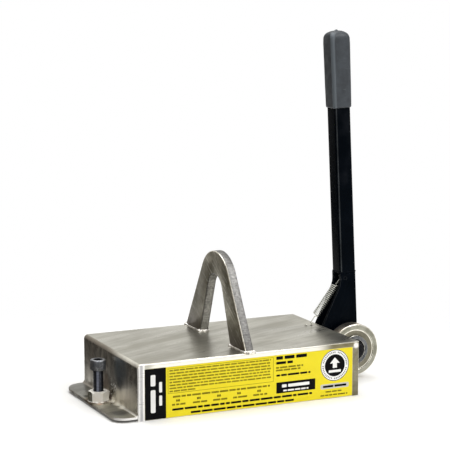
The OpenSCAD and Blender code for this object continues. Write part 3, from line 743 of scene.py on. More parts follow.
# The shields' olive-brown tone is a painted reflection
SHIELD = bare("bearing_shield", (0.225, 0.21, 0.16), (0.15, 0.14, 0.105), rough=(0.26, 0.40),
    grain=(90, 90, 90), cloud=80, grain_depth=0.006 * MM)
INNER = bare("bearing_inner_steel", (0.17, 0.175, 0.18), (0.075, 0.078, 0.082), rough=(0.18, 0.30),
    grain=(90, 90, 90), cloud=90)
BALL = bare("ball_polished", (0.90, 0.90, 0.91), (0.80, 0.80, 0.82), rough=(0.06, 0.12), grain=(80,
        80, 80), cloud=60, grain_depth=0.002 * MM)
CAGE = bare("cage_brass", (0.74, 0.60, 0.30), (0.55, 0.42, 0.20), rough=(0.28, 0.42), grain=(300,
        300, 300), cloud=90)


def keep(node, material):
    """Shows a CAD node as it is, with a better material."""
    obj = frame["nodes"][node]
    obj.data.materials.clear()
    obj.data.materials.append(material)


# --------------------------------------------------------------------- housing

FRONT_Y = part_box("side_plate_front")[0].y
SEAM_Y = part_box("end_plate")[1].y


def near(value, target, tolerance=0.06 * MM):
    return abs(value - target) < tolerance


def build_housing():
    def off_seam(e):
        return not all(near(abs(v.co.y), SEAM_Y) for v in e.verts)

    cover = soften(cad_mesh("housing_cover"), 0.6 * MM, pick=off_seam)
    piece("cover_sheet", cover, "housing_cover", HOUSING)

    for node, side in (("side_plate_front", -1), ("side_plate_back", 1)):
        face_y = side * abs(FRONT_Y)
        bm = cad_mesh(node)

        def rim(e):
            return all(near(v.co.y, face_y) for v in e.verts) and any(v.co.z > MM for v in e.verts)

        soften(bm, 2.6 * MM, segments=6, angle_deg=50, pick=rim)
        soften(bm, 0.5 * MM, segments=2, angle_deg=50, pick=lambda e: all(v.co.z < 0.05 * MM for v
                in e.verts))
        piece(node + "_welded", bm, node, HOUSING, smooth_deg=50)

    soft = soften(cad_mesh("end_plate"), 0.3 * MM, segments=2)
    piece("end_wall", soft, "end_plate", HOUSING)


def build_bail():
    lo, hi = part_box("lifting_bail")
    bm = soften(cad_mesh("lifting_bail"), 1.3 * MM, segments=3, angle_deg=50)
    for f in bm.faces:
        lean = abs(f.normal.x)
        c = f.calc_center_median()
        outward = f.normal.y * c.y + f.normal.z * (c.z - lo.z - 45 * MM) > 0
        # Rim faces turned outwards and towards -X take the pale rim, a painted highlight
        edge_highlight = outward and f.normal.x < -0.2
        f.material_index = 0 if lean > 0.97 else 2 if edge_highlight else 1
    piece("bail_arch", bm, "lifting_bail", [BAIL_FACE, BAIL_EDGE, BAIL_RIM], smooth_deg=35)

    inner = min(abs(v.co.y) for v in frame["nodes"]["lifting_bail"].data.vertices if v.co.z < lo.z +
        0.1 * MM)
    mid_x, half_t = (lo.x + hi.x) / 2, (hi.x - lo.x) / 2
    outer, z = hi.y, lo.z + 0.2 * MM
    beads = []
    for foot in (-1, 1):
        out_y = foot * (outer - 0.2 * MM)
        in_y = foot * inner
        corners = [(mid_x - half_t, in_y, z), (mid_x - half_t, out_y, z), (mid_x + half_t, out_y,
                z), (mid_x + half_t, in_y, z)]
        length = outer - inner
        round_trip = 2 * (length + 2 * half_t)

        def size(t, length=length, round_trip=round_trip):
            # Full at the foot's two ends and thin along its broad sides
            walked = t * round_trip
            side = walked % (length + 2 * half_t)
            to_end = min(side, abs(length - side), length + 2 * half_t - side)
            if side > length:
                to_end = 0
            fade = math.exp(-((to_end / (4.5 * MM)) ** 2))
            return (1.2 + 1.9 * fade) * MM

        beads.append(weld_bead(corners, size, (0, 0, 1), closed=True, seed=11 + foot))
    for foot, side, share, r in ((-1, -1, 0.99, 3.2), (-1, 1, 0.97, 3.4), (-1, -1, 0.02, 2.8), (1,
            -1, 0.02, 3.4), (1, 1, 0.05, 2.8), (1, 1, 0.98, 2.8)):
        y = foot * (inner + (outer - inner) * share)
        blob = bmesh.new()
        bmesh.ops.create_icosphere(blob, subdivisions=3, radius=r * MM)
        for v in blob.verts:
            v.co *= 1 + 0.08 * math.sin(1800 * v.co.x + 1300 * v.co.y + 900 * v.co.z)
            v.co.z *= 0.75
            v.co += Vector((mid_x + side * (half_t + 0.3 * MM), y, z))
        beads.append(blob)
    piece("bail_foot_welds", join(*beads), "bail_welds", WELD, smooth_deg=60)


# ----------------------------------------------------------------------- label


def slab(bm, outline, y_back, y_front, index):
    """A thin slab of ink with the given outline in X and Z."""
    back = [bm.verts.new((x, y_back, z)) for x, z in outline]
    front = [bm.verts.new((x, y_front, z)) for x, z in outline]
    faces = [bm.faces.new(front), bm.faces.new(back[::-1])]
    n = len(outline)
    for i in range(n):
        j = (i + 1) % n
        faces.append(bm.faces.new([back[i], back[j], front[j], front[i]]))
    for f in faces:
        f.material_index = index
    return faces


def build_label():
    lo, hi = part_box("front_label")
    depth = hi.y - lo.y
    base_y = lo.y + depth * 0.32
    ink1_y = lo.y + depth * 0.16
    ink2_y = lo.y

    def rect(u0, u1, v0, v1, r=0.0):
        x0, x1 = lo.x + u0 * MM, lo.x + u1 * MM
        z0, z1 = lo.z + v0 * MM, lo.z + v1 * MM
        points = [(x0, z0), (x1, z0), (x1, z1), (x0, z1)]
        if r:
            r = min(r * MM, (x1 - x0) * 0.48, (z1 - z0) * 0.48)
            points = rounded(points, r, steps=3)
        return points

    width, height = (hi.x - lo.x) / MM, (hi.z - lo.z) / MM
    base = bmesh.new()
    slab(base, rect(0, width, 0, height, 1.2), hi.y, base_y, 0)
    bmesh.ops.recalc_face_normals(base, faces=base.faces)
    piece("label_film", base, "front_label", LABEL)

    # Print that only suggests text: plain bars the length of words, and rows of even ticks
    ink, soft, white, silver = 0, 1, 2, 3
    bm = bmesh.new()
    u_base, v_base = 9.7, 0.8

    def mark(outline, index, level=1):
        back, front = (base_y, ink1_y) if level == 1 else (ink1_y, ink2_y)
        slab(bm, outline, back, front, index)

    def bar(u0, u1, v0, v1, r, index, level=1):
        mark(rect(u0 - u_base, u1 - u_base, v0 - v_base, v1 - v_base, r), index, level)

    def bars(u0, u1, v, tall, index, seed, level=1):
        """Word-long bars from u0 to u1 centred on v."""
        rng = random.Random(seed)
        gap = tall * 0.55
        u = u0
        while u < u1 - tall:
            end = min(u + tall * rng.uniform(1.6, 6.5), u1)
            if u1 - end < tall * 1.5:
                end = u1
            bar(u, end, v - tall / 2, v + tall / 2, tall * 0.22, index, level)
            u = end + gap

    def ticks(u0, u1, v, tall, index, seed):
        """Small print: even ticks in groups."""
        rng = random.Random(seed)
        step = tall * 0.62
        left = rng.randint(3, 8)
        for i in range(int((u1 - u0) / step)):
            if left == 0:
                left = rng.randint(3, 9)
                continue
            left -= 1
            u = u0 + i * step
            bar(u, u + step * 0.72, v - tall / 2, v + tall / 2, 0, index)

    def frame_box(u0, u1, v0, v1, t, index):
        bar(u0, u1, v1 - t, v1, 0, index)
        bar(u0, u1, v0, v0 + t, 0, index)
        bar(u0, u0 + t, v0 + t, v1 - t, 0, index)
        bar(u1 - t, u1, v0 + t, v1 - t, 0, index)

    # Black panel at the left with two upright rows of bars
    bar(u_base, 39.8, v_base, v_base + height, 0.8, ink)
    for v0, v1 in ((9.6, 40.4), (45.6, 60.8)):
        bar(18.0, 24.8, v0, v1, 1.6, white, 2)
    for v0, v1 in ((18.4, 32.2), (36.2, 50.4)):
        bar(30.0, 34.2, v0, v1, 1.1, white, 2)

    # Boxed paragraph, small table and the two bold lines under it
    frame_box(42.6, 197.6, 33.0, 66.8, 0.4, soft)
    rows = 8
    for k in range(rows):
        end = 194.5 if k < rows - 1 else 84
        ticks(45, end, 63.9 - k * 4.0, 2.0, soft, 100 + k)
    ticks(49.8, 192.7, 28.2, 2.5, ink, 120)
    for k, u in enumerate((58, 88, 117.5, 147, 177)):
        ticks(u - 3.6, u + 3.6, 22.7, 3.0, ink, 130 + k)
        ticks(u - 9.5, u + 11.5, 17.5, 2.4, ink, 140 + k)
    bars(48.6, 256.7, 10.9, 2.9, ink, 150)
    bars(75.4, 228.8, 4.5, 2.8, ink, 151)

    # Second column, with its black box
    bars(201.7, 248.4, 65.0, 4.6, ink, 160)
    bars(201.7, 226.9, 58.0, 3.6, ink, 161)
    ticks(201.7, 244, 51.6, 2.3, ink, 162)
    ticks(201.7, 240, 47.9, 2.3, ink, 163)
    bars(201.9, 254.1, 40.8, 2.8, ink, 164)
    bar(202.0, 261.6, 15.8, 31.1, 0.4, ink)
    bars(210.5, 252.5, 25.5, 4.2, white, 165, level=2)
    bars(212.5, 251.0, 18.9, 2.2, white, 166, level=2)

    # Round emblem: a plain upward arrow over a plate
    cu, cv = 291.8, 46.2

    def around(r, count):
        return [(lo.x + (cu - u_base + r * math.cos(a)) * MM, lo.z + (cv - v_base + r * math.sin(a))
                * MM) for a in (2 * math.pi * i / count for i in range(count))]

    def disc(r, index, level, hole=0.0, count=72):
        back, front = (base_y, ink1_y) if level == 1 else (ink1_y, ink2_y)
        ring = around(r, count)
        if not hole:
            slab(bm, ring, back, front, index)
            return
        inner = around(hole, count)
        for i in range(count):
            j = (i + 1) % count
            slab(bm, [inner[i], ring[i], ring[j], inner[j]], back, front, index)

    disc(22.0, white, 1)
    disc(21.9, ink, 2, hole=21.1)
    disc(15.5, ink, 2)
    marks = 44
    for i in range(marks):
        if i % 11 == 10:
            continue
        a = 2 * math.pi * i / marks + math.pi / 2
        c, n = math.cos(a), math.sin(a)
        outline = []
        for r, t in ((17.4, -0.55), (17.4, 0.55), (19.5, 0.55), (19.5, -0.55)):
            outline.append((lo.x + (cu - u_base + r * c - t * n) * MM, lo.z + (cv - v_base + r * n +
                        t * c) * MM))
        slab(bm, outline, ink1_y, ink2_y, ink)
    arrow = [(-3.2, -3.6), (3.2, -3.6), (3.2, 3.0), (7.6, 3.0), (0, 11.2), (-7.6, 3.0), (-3.2, 3.0)]
    plate = [(-9.4, -9.8), (9.4, -9.8), (9.4, -6.4), (-9.4, -6.4)]
    for shape in (arrow, plate):
        outline = [(lo.x + (cu - u_base + a) * MM, lo.z + (cv - v_base + b) * MM) for a, b in shape]
        slab(bm, outline, ink2_y + 0.004 * MM, ink2_y - 0.008 * MM, white)
    bar(269.8, 314.0, 13.9, 20.7, 1.8, silver)
    bars(273.6, 310.2, 17.3, 3.0, ink, 170, level=2)
    ticks(278, 304, 9.8, 2.0, ink, 171)
    ticks(270, 313, 5.0, 2.0, ink, 172)
    bmesh.ops.recalc_face_normals(bm, faces=bm.faces)
    obj = piece("label_print", bm, [], [INK, INK_SOFT, WHITE, SILVER], body="housing")
    return obj


# ------------------------------------------------------------------ jack screw


def thread_material():
    """Black oxide, with a highlight painted down the side nearest the front left corner."""
    s = Shader("black_oxide_thread")
    lo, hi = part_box("jack_screw")
    patina = s.noise(180, detail=5, rough=0.6)
    across = s.plus(s.times(s.minus(s.axis("X"), (lo.x + hi.x) / 2),
            ACROSS_X), s.times(s.axis("Y"), ACROSS_Y))
    near = s.spread(s.facing("Y"), 0.2, -0.2)
    stripe = s.spread(s.math("ABSOLUTE", s.plus(across, 0.4 * MM)), 2.3 * MM, 0.7 * MM, 0.0, 0.85)
    flank = s.times(s.spread(across, 0.2 * MM, 1.2 * MM), s.spread(across, 5.2 * MM, 3.6 * MM))
    base = s.blend(s.spread(patina, 0.3, 0.7), (0.005, 0.006, 0.009), (0.014, 0.016, 0.024))
    # Painted reflection: a bluish band beside the highlight
    base = s.blend(s.times(near, flank), base, (0.052, 0.058, 0.078))
    base = s.blend(s.times(near, stripe), base, (0.26, 0.28, 0.36))
    s.set(Base_Color=base, Metallic=0.2, Roughness=s.spread(patina, 0.3, 0.7, 0.42, 0.30))
    return s.material


def nut_material():
    """Bare steel drawn near-white and not metallic as a painted reflection, with painted shade on the side that
    faces outwards.
    """
    s = steel("nut_bright_steel", (1.0, 0.99, 0.95), (0.93, 0.89, 0.80), rough=(0.26, 0.42),
        grain=(260, 260, 60), cloud=120, metallic=0.0)
    # Painted shade on the facets turned towards -X
    outer = s.times(s.spread(s.facing("X"), -0.8, -0.95), s.spread(s.noise(160), 0.3,
            0.55, 0.6, 0.95))
    plain = s.bsdf.inputs["Base Color"].links[0].from_socket
    s.set(Base_Color=s.blend(outer, plain, (0.045, 0.040, 0.012)))
    return s.material


# The screw's axis seen across the camera's line of sight, and the nut's turn about it
ACROSS_X, ACROSS_Y = 0.906, -0.423
NUT_TURN = math.radians(25)
NUT_CORNER = math.radians(5)
THREAD_PITCH = 2.117 * MM
THREAD_DEPTH_SHARE = 0.36


def build_jack():
    lo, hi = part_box("jack_screw")
    head_r = (hi.x - lo.x) / 2
    centre = ((lo.x + hi.x) / 2, (lo.y + hi.y) / 2, 0)
    shank_r = head_r / 1.5
    head_h = 2 * shank_r
    neck_z = hi.z - head_h
    pitch = THREAD_PITCH
    depth = THREAD_DEPTH_SHARE * pitch

    # Head: knurled side, rounded top rim, hexagon socket
    teeth = 54
    knurl = 0.30 * MM

    def knurled(a):
        return head_r - knurl * (0.5 + 0.5 * math.cos(teeth * a))

    socket = 0.375 * 2 * shank_r
    rows = [(shank_r * 0.8, neck_z - 0.5 * MM), (shank_r + 0.5 * MM, neck_z - 0.01 * MM), (head_r -
            1.0 * MM, neck_z), (head_r - 0.35 * MM, neck_z + 0.25 * MM), (head_r - 0.15 * MM, neck_z
            + 0.9 * MM), (knurled, neck_z + 1.5 * MM), (knurled, hi.z - 2.2 * MM), (head_r - 0.20 *
            MM, hi.z - 1.7 * MM), (head_r - 0.25 * MM, hi.z - 1.2 * MM), (head_r - 0.55 * MM, hi.z -
            0.55 * MM), (head_r - 1.10 * MM, hi.z - 0.12 * MM), (head_r - 1.70 * MM, hi.z), (socket
            * 1.22, hi.z), (lambda a: hex_radius(socket, a), hi.z - 0.9 * MM), (lambda a:
            hex_radius(socket, a), hi.z - 0.52 * head_h), (socket * 0.55, hi.z - 0.58 * head_h), (0,
            hi.z - 0.66 * head_h)]
    head = revolve(rows, teeth * 8, "z", centre)
    for f in head.faces:
        at = f.calc_center_median()
        if math.hypot(at.x - centre[0], at.y - centre[1]) < socket * 1.2 and at.z > neck_z + 1 * MM:
            f.material_index = 2

    # Shank: a real helix, plain for the last stretch under the head
    around = 40
    per_turn = 8
    z0, z1 = lo.z, neck_z - 0.4 * MM
    bm = bmesh.new()
    steps = int((z1 - z0) / (pitch / per_turn))
    grid = []
    for k in range(steps + 1):
        z = z0 + (z1 - z0) * k / steps
        row = []
        for i in range(around):
            a = 2 * math.pi * i / around
            phase = ((z - z0) / pitch - a / (2 * math.pi)) % 1.0
            tooth = abs(2 * phase - 1)
            cut = min(1.0, max(0.0, (tooth - 0.12) / 0.76))
            r = shank_r - depth * cut
            entry = min(1.0, (z - z0) / (1.4 * MM))
            r = min(r, shank_r - 1.2 * MM * (1 - entry))
            runout = min(1.0, max(0.0, (z1 - z) / (6.0 * MM)))
            if runout < 1:
                r = shank_r - depth * cut * runout * 0.9 - 0.03 * MM
            row.append(bm.verts.new((centre[0] + r * math.cos(a), centre[1] + r * math.sin(a), z)))
        grid.append(row)
    for low, high in zip(grid, grid[1:]):
        for i in range(around):
            j = (i + 1) % around
            bm.faces.new([low[i], low[j], high[j], high[i]])
    bm.faces.new(grid[0][::-1])
    bm.faces.new(grid[-1])
    bmesh.ops.recalc_face_normals(bm, faces=bm.faces)
    for f in bm.faces:
        f.material_index = 1
    piece("jack_cap_screw", join(head, bm), "jack_screw", [OXIDE_LIT_HEAD, thread_material(),
            OXIDE_DARK], smooth_deg=32)

    nlo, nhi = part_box("jack_nut")
    flat = (nhi.y - nlo.y) / 2 / math.cos(NUT_CORNER) * math.cos(math.pi / 6)
    nut = hex_body(flat, nlo.z, nhi.z, "z", (centre[0], centre[1], 0), bore=shank_r + 0.06 * MM,
        turn=NUT_TURN)
    piece("jack_weld_nut", nut, "jack_nut", nut_material(), smooth_deg=30)

    # Bead round the nut's foot, heaviest towards the wall, with spatter about it
    reach = flat + 1.3 * MM
    ring = [(centre[0] + reach * math.cos(a), centre[1] + reach * math.sin(a), nlo.z) for a in (2 *
            math.pi * i / 48 for i in range(48))]

    def size(t):
        to_wall = min(t, 1 - t)
        return (1.0 + 1.9 * math.exp(-((to_wall / 0.16) ** 2))) * MM

    parts = [weld_bead(ring, size, (0, 0, 1), closed=True, seed=5)]
    rng = random.Random(21)
    for k in range(26):
        blob = bmesh.new()
        r = rng.uniform(0.22, 0.7) * MM
        bmesh.ops.create_icosphere(blob, subdivisions=2, radius=r)
        if k < 12:
            a = rng.uniform(-1.9, 1.9)
            d = flat + rng.uniform(3, 8) * MM
            spot = Vector((centre[0] + d * math.cos(a), centre[1] + d * math.sin(a), nlo.z))
            spot.x = min(spot.x, WALL_X - 4.2 * MM)
        else:
            spot = Vector((WALL_X, centre[1] + rng.gauss(-1, 6) * MM, nlo.z + rng.uniform(4.5, 11) *
                    MM))
        for v in blob.verts:
            v.co += spot
        parts.append(blob)
    piece("nut_weld_bead", join(*parts), "jack_nut_weld", WELD, smooth_deg=60)


# ----------------------------------------------------------------------- lever


def lever_axis():
    """Centre of the tube's foot, and the lever's own axes, read from the CAD tube."""
    verts = [v.co for v in frame["nodes"]["handle_tube"].data.vertices]
    z0, z1 = min(v.z for v in verts), max(v.z for v in verts)
    slack = 1.6 * MM

    def middle(points):
        lo = Vector(map(min, *points))
        hi = Vector(map(max, *points))
        return (lo + hi) / 2

    foot = middle([v for v in verts if v.z < z0 + slack])
    top = middle([v for v in verts if v.z > z1 - slack])
    up = (top - foot).normalized()
    forth = Vector((0, 1, 0))
    return foot, top, forth.cross(up).normalized(), forth, up


FOOT, TUBE_TOP, LEVER_U, LEVER_V, LEVER_W = lever_axis()


def square_ring(half, r, count=12):
    """Points round a square with rounded corners, count + 1 to each corner."""
    k = half - r
    out = []
    for c, (sx, sy) in enumerate(((1, 1), (-1, 1), (-1, -1), (1, -1))):
        for i in range(count + 1):
            a = math.pi / 2 * (c + i / count)
            out.append((sx * k + r * math.cos(a), sy * k + r * math.sin(a)))
    return out


def on_lever(u, v, w):
    return FOOT + LEVER_U * u + LEVER_V * v + LEVER_W * w


def build_lever():
    half = (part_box("yoke_cheek_back")[1].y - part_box("yoke_cheek_front")[0].y) / 2
    for node, name in (("yoke_cheek_front", "cheek_front"), ("yoke_cheek_back", "cheek_back")):
        bm = soften(cad_mesh(node), 0.9 * MM, segments=3, angle_deg=50)
        piece(name, bm, node, PAINT, smooth_deg=35)
    bm = soften(cad_mesh("yoke_web"), 0.6 * MM, segments=2)
    piece("cheek_web", bm, "yoke_web", PAINT)

    # Square tube with rolled corners
    wall = 3 * MM
    length = (TUBE_TOP - FOOT).length
    bm = bmesh.new()
    outer, inner = square_ring(half, 3.5 * MM), square_ring(half - wall, 1.2 * MM)
    rows = [(inner, 0.0), (outer, 0.0), (outer, 0.4 * MM), (outer, length), (inner, length)]
    made = [[bm.verts.new(on_lever(u, v, w)) for u, v in ring] for ring, w in rows]
    n = len(outer)
    for low, high in zip(made, made[1:] + [made[0]]):
        for i in range(n):
            j = (i + 1) % n
            bm.faces.new([low[i], low[j], high[j], high[i]])
    bmesh.ops.recalc_face_normals(bm, faces=bm.faces)
    piece("lever_tube", bm, "handle_tube", PAINT, smooth_deg=40)

    ring = [on_lever(u, v, 0.6 * MM) for u, v in square_ring(half - 0.3 * MM, 3.2 * MM, 4)]
    bm = weld_bead(ring, lambda t: 1.3 * MM, LEVER_W, closed=True, seed=3)
    piece("lever_joint_weld", bm, "handle_weld", PAINT_PLAIN, smooth_deg=60)

    # Grip: dipped sleeve that follows the tube and closes in a low dome
    lo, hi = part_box("handle_grip")
    verts = [v.co - FOOT for v in frame["nodes"]["handle_grip"].data.vertices]
    w0, w1 = min(v.dot(LEVER_W) for v in verts), max(v.dot(LEVER_W) for v in verts)
    grip = max(abs(v.dot(LEVER_V)) for v in verts)
    body = w1 - 1.8 * MM
    rows = [(half + 0.02 * MM, 3.5, w0 + 1.0 * MM), (half + 0.3 * MM, 3.6, w0 + 0.1 * MM), (grip -
            2.1 * MM, 4.8, w0), (grip - 1.2 * MM, 5.5, w0 + 0.5 * MM), (grip - 0.85 * MM, 5.9, w0 +
            1.8 * MM), (grip - 0.75 * MM, 6.0, w0 + 5 * MM), (grip - 0.45 * MM, 6.1, w0 + 30 * MM),
        (grip - 0.25 * MM, 6.2, body - 40 * MM), (grip - 0.05 * MM, 6.3, body - 18 * MM), (grip -
            0.25 * MM, 6.6, body - 10 * MM), (grip - 0.9 * MM, 7.2, body - 6.8 * MM), (grip - 1.9 *
            MM, 7.9, body - 4.6 * MM), (grip - 3.4 * MM, 8.4, body - 2.9 * MM), (grip - 5.4 * MM,
            8.4, body - 1.6 * MM), (grip - 7.8 * MM, 7.4, body - 0.6 * MM), (grip - 11.2 * MM, 4.4,
            body - 0.1 * MM), (2.5 * MM, 2.48, body + 0.25 * MM), (2.0 * MM, 1.98, body + 0.9 * MM),
        (1.3 * MM, 1.29, body + 1.5 * MM)]
    bm = bmesh.new()
    made = []
    for size, r, w in rows:
        ring = square_ring(size, min(r * MM, size * 0.999), 10)
        made.append([bm.verts.new(on_lever(u, v, w)) for u, v in ring])
    n = len(made[0])
    for low, high in zip(made, made[1:]):
        for i in range(n):
            j = (i + 1) % n
            bm.faces.new([low[i], low[j], high[j], high[i]])
    tip = bm.verts.new(on_lever(0, 0, w1))
    for i in range(n):
        bm.faces.new([made[-1][i], made[-1][(i + 1) % n], tip])
    inside = [bm.verts.new(on_lever(u, v, w0 + 6 * MM)) for u, v in square_ring(half + 0.02 * MM,
            3.5 * MM, 10)]
    for i in range(n):
        j = (i + 1) % n
        bm.faces.new([inside[i], inside[j], made[0][j], made[0][i]])
    bm.faces.new(inside)
    bmesh.ops.recalc_face_normals(bm, faces=bm.faces)
    obj = piece("grip_sleeve", bm, "handle_grip", GRIP, smooth_deg=80)
    return obj


# ---------------------------------------------------------------------- spring


def build_spring():
    pin_lo, pin_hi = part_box("spring_anchor_pin")
    anchor = (pin_lo + pin_hi) / 2
    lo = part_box("return_spring")[0]
    hook_r, wire = 4.5 * MM, 0.75 * MM
    base = Vector((lo.x + hook_r + 0.8 * MM, anchor.y, TOP_Z + 0.1 * MM))
    up = (anchor - base).normalized()
    across = Vector((0, 1, 0)).cross(up).normalized()
    deep = Vector((0, 1, 0))
    span = (anchor - base).length
    coil_r = 4.7 * MM
    start, end = 19 * MM, span - 13 * MM
    pitch = 2.8 * MM
    turns = int((end - start) / pitch)
    end = start + turns * pitch
    path = []

    def along(u, v, w):
        return base + across * u + deep * v + up * w

    # Lower hook: an open ring through the two holes, then up to the coil
    for i in range(27):
        a = math.radians(-172 + 262 * i / 26)
        path.append(along(hook_r * math.cos(a), 0, hook_r * math.sin(a)))
    # along() turns with the spring, so the ring is drawn in the spring's own plane
    path += [along(0, 0, 8 * MM), along(0, 0, 12 * MM), along(0, 0, start - 3.5 * MM)]
    lead = 10
    for i in range(1, lead + 1):
        t = i / lead
        a = -math.pi / 2 * (1 - t)
        r = coil_r * math.sin(math.pi / 2 * t)
        path.append(along(r * math.cos(a), r * math.sin(a), start - 3.5 * MM + 3.5 * MM *
                math.sin(math.pi / 2 * t)))
    per = 20
    for i in range(1, turns * per + 1):
        a = 2 * math.pi * i / per
        path.append(along(coil_r * math.cos(a), coil_r * math.sin(a), start + pitch * i / per))
    for i in range(1, lead + 1):
        t = i / lead
        a = math.pi / 2 * t
        r = coil_r * math.cos(math.pi / 2 * t)
        path.append(along(r * math.cos(a), r * math.sin(a), end + 3.5 * MM * math.sin(math.pi / 2 *
                    t)))
    loop_r = 3.35 * MM
    path.append(along(0, 0, (end + 3.5 * MM + span - loop_r) / 2))
    for i in range(28):
        a = math.radians(-90 + 285 * i / 27)
        path.append(along(loop_r * math.cos(a), 0, span + loop_r * math.sin(a)))
    bm = tube_along(path, wire, sides=8)
    obj = piece("pull_spring", bm, "return_spring", SPRING, smooth_deg=60, body="blend")
    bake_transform(obj)
    return obj


# --------------------------------------------------------------------- bearing


def build_bearing():
    lo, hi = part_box("bearing_outer_ring")
    r_out = (hi.x - lo.x) / 2
    half = (hi.y - lo.y) / 2
    centre = ROLLER
    r_land = r_out - 7.7 * MM
    edge = 1.8 * MM
    groove_r = 6.2 * MM
    ilo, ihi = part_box("bearing_inner_ring")
    r_in, r_bore = (ihi.x - ilo.x) / 2, 15 * MM
    pitch_r = (r_land + r_in) / 2

    def race(side, count=8):
        """Points of a ball groove as (radius, height), on the outer or inner ring."""
        wall = r_land if side > 0 else r_in
        reach = math.sqrt(max(groove_r**2 - (wall - pitch_r) ** 2, 0))
        first = math.atan2(reach, side * (wall - pitch_r))
        out = []
        for i in range(count + 1):
            a = first * (1 - 2 * i / count)
            out.append((pitch_r + side * groove_r * math.cos(a), groove_r * math.sin(a)))
        return out

    profile = rounded([(r_land, half), (r_out, half), (r_out, -half), (r_land, -half)], [0.6 * MM,
            edge, edge, 0.6 * MM], steps=7)
    # A step at the land's rim, where the shield is seated
    profile += [(r_land, -half + 1.0 * MM), (r_land + 0.5 * MM, -half + 1.1 * MM), (r_land + 0.5 *
            MM, -half + 2.4 * MM), (r_land, -half + 2.5 * MM)]
    profile += race(1)[::-1]
    profile += [(r_land, half - 2.5 * MM), (r_land + 0.5 * MM, half - 2.4 * MM), (r_land + 0.5 * MM,
            half - 1.1 * MM), (r_land, half - 1.0 * MM)]
    bm = revolve(profile, 144, "y", centre, loop=True)
    # Rounded faces take the painted highlight
    for f in bm.faces:
        c = f.calc_center_median() - centre
        r = math.hypot(c.x, c.z)
        face = abs(f.normal.y)
        f.material_index = 1 if r > r_out - 0.4 * MM else 2 if 0.15 < face < 0.985 else 0
    piece("roller_outer_ring", bm, "bearing_outer_ring", [RING, TREAD, RIM_HIGHLIGHT], smooth_deg=32)

    profile = rounded([(r_bore, -half), (r_in, -half), (r_in, half), (r_bore, half)], [1.1 * MM, 0.6
            * MM, 0.6 * MM, 1.1 * MM], steps=4)
    cut = len(profile) // 2
    profile = profile[:cut] + race(-1)[::-1] + profile[cut:]
    bm = revolve(profile, 120, "y", centre, loop=True)
    # Rounded faces take the painted highlight
    for f in bm.faces:
        r = Vector((f.calc_center_median().x - centre.x, f.calc_center_median().z -
                centre.z)).length
        f.material_index = 1 if 0.15 < abs(f.normal.y) < 0.985 and abs(r -
            pitch_r) > groove_r * 0.6 else 0
    piece("roller_inner_ring", bm, "bearing_inner_ring", [INNER, RIM_HIGHLIGHT], smooth_deg=32)

    # Pressed shields: a curled rim, a dished annulus and a turned-in lip
    parts = []
    for side in (-1, 1):
        face = side * (half - 1.2 * MM)
        deep = -side * 1.0 * MM
        a, b = r_in + 0.35 * MM, r_land + 0.3 * MM
        front = [(b, face + deep * 0.2), (b - 0.5 * MM, face + deep * 0.02), (b - 1.3 * MM, face),
            (b - 1.9 * MM, face + deep * 0.30), (b - 2.5 * MM, face + deep * 0.42), (a + 1.9 * MM,
                face + deep * 0.42), (a + 1.2 * MM, face + deep * 0.20), (a + 0.5 * MM, face + deep
                * 0.16), (a, face + deep * 0.45)]
        back = [(r, h + deep * 0.5) for r, h in front][::-1]
        shield = revolve(front + back, 120, "y", centre, loop=True)
        # The curled rim takes the painted highlight
        for f in shield.faces:
            c = f.calc_center_median() - centre
            f.material_index = 1 if math.hypot(c.x, c.z) > b - 1.9 * MM else 0
        parts.append(shield)
    piece("roller_shields", join(*parts), "bearing_shields", [SHIELD, RIM_HIGHLIGHT], smooth_deg=50)


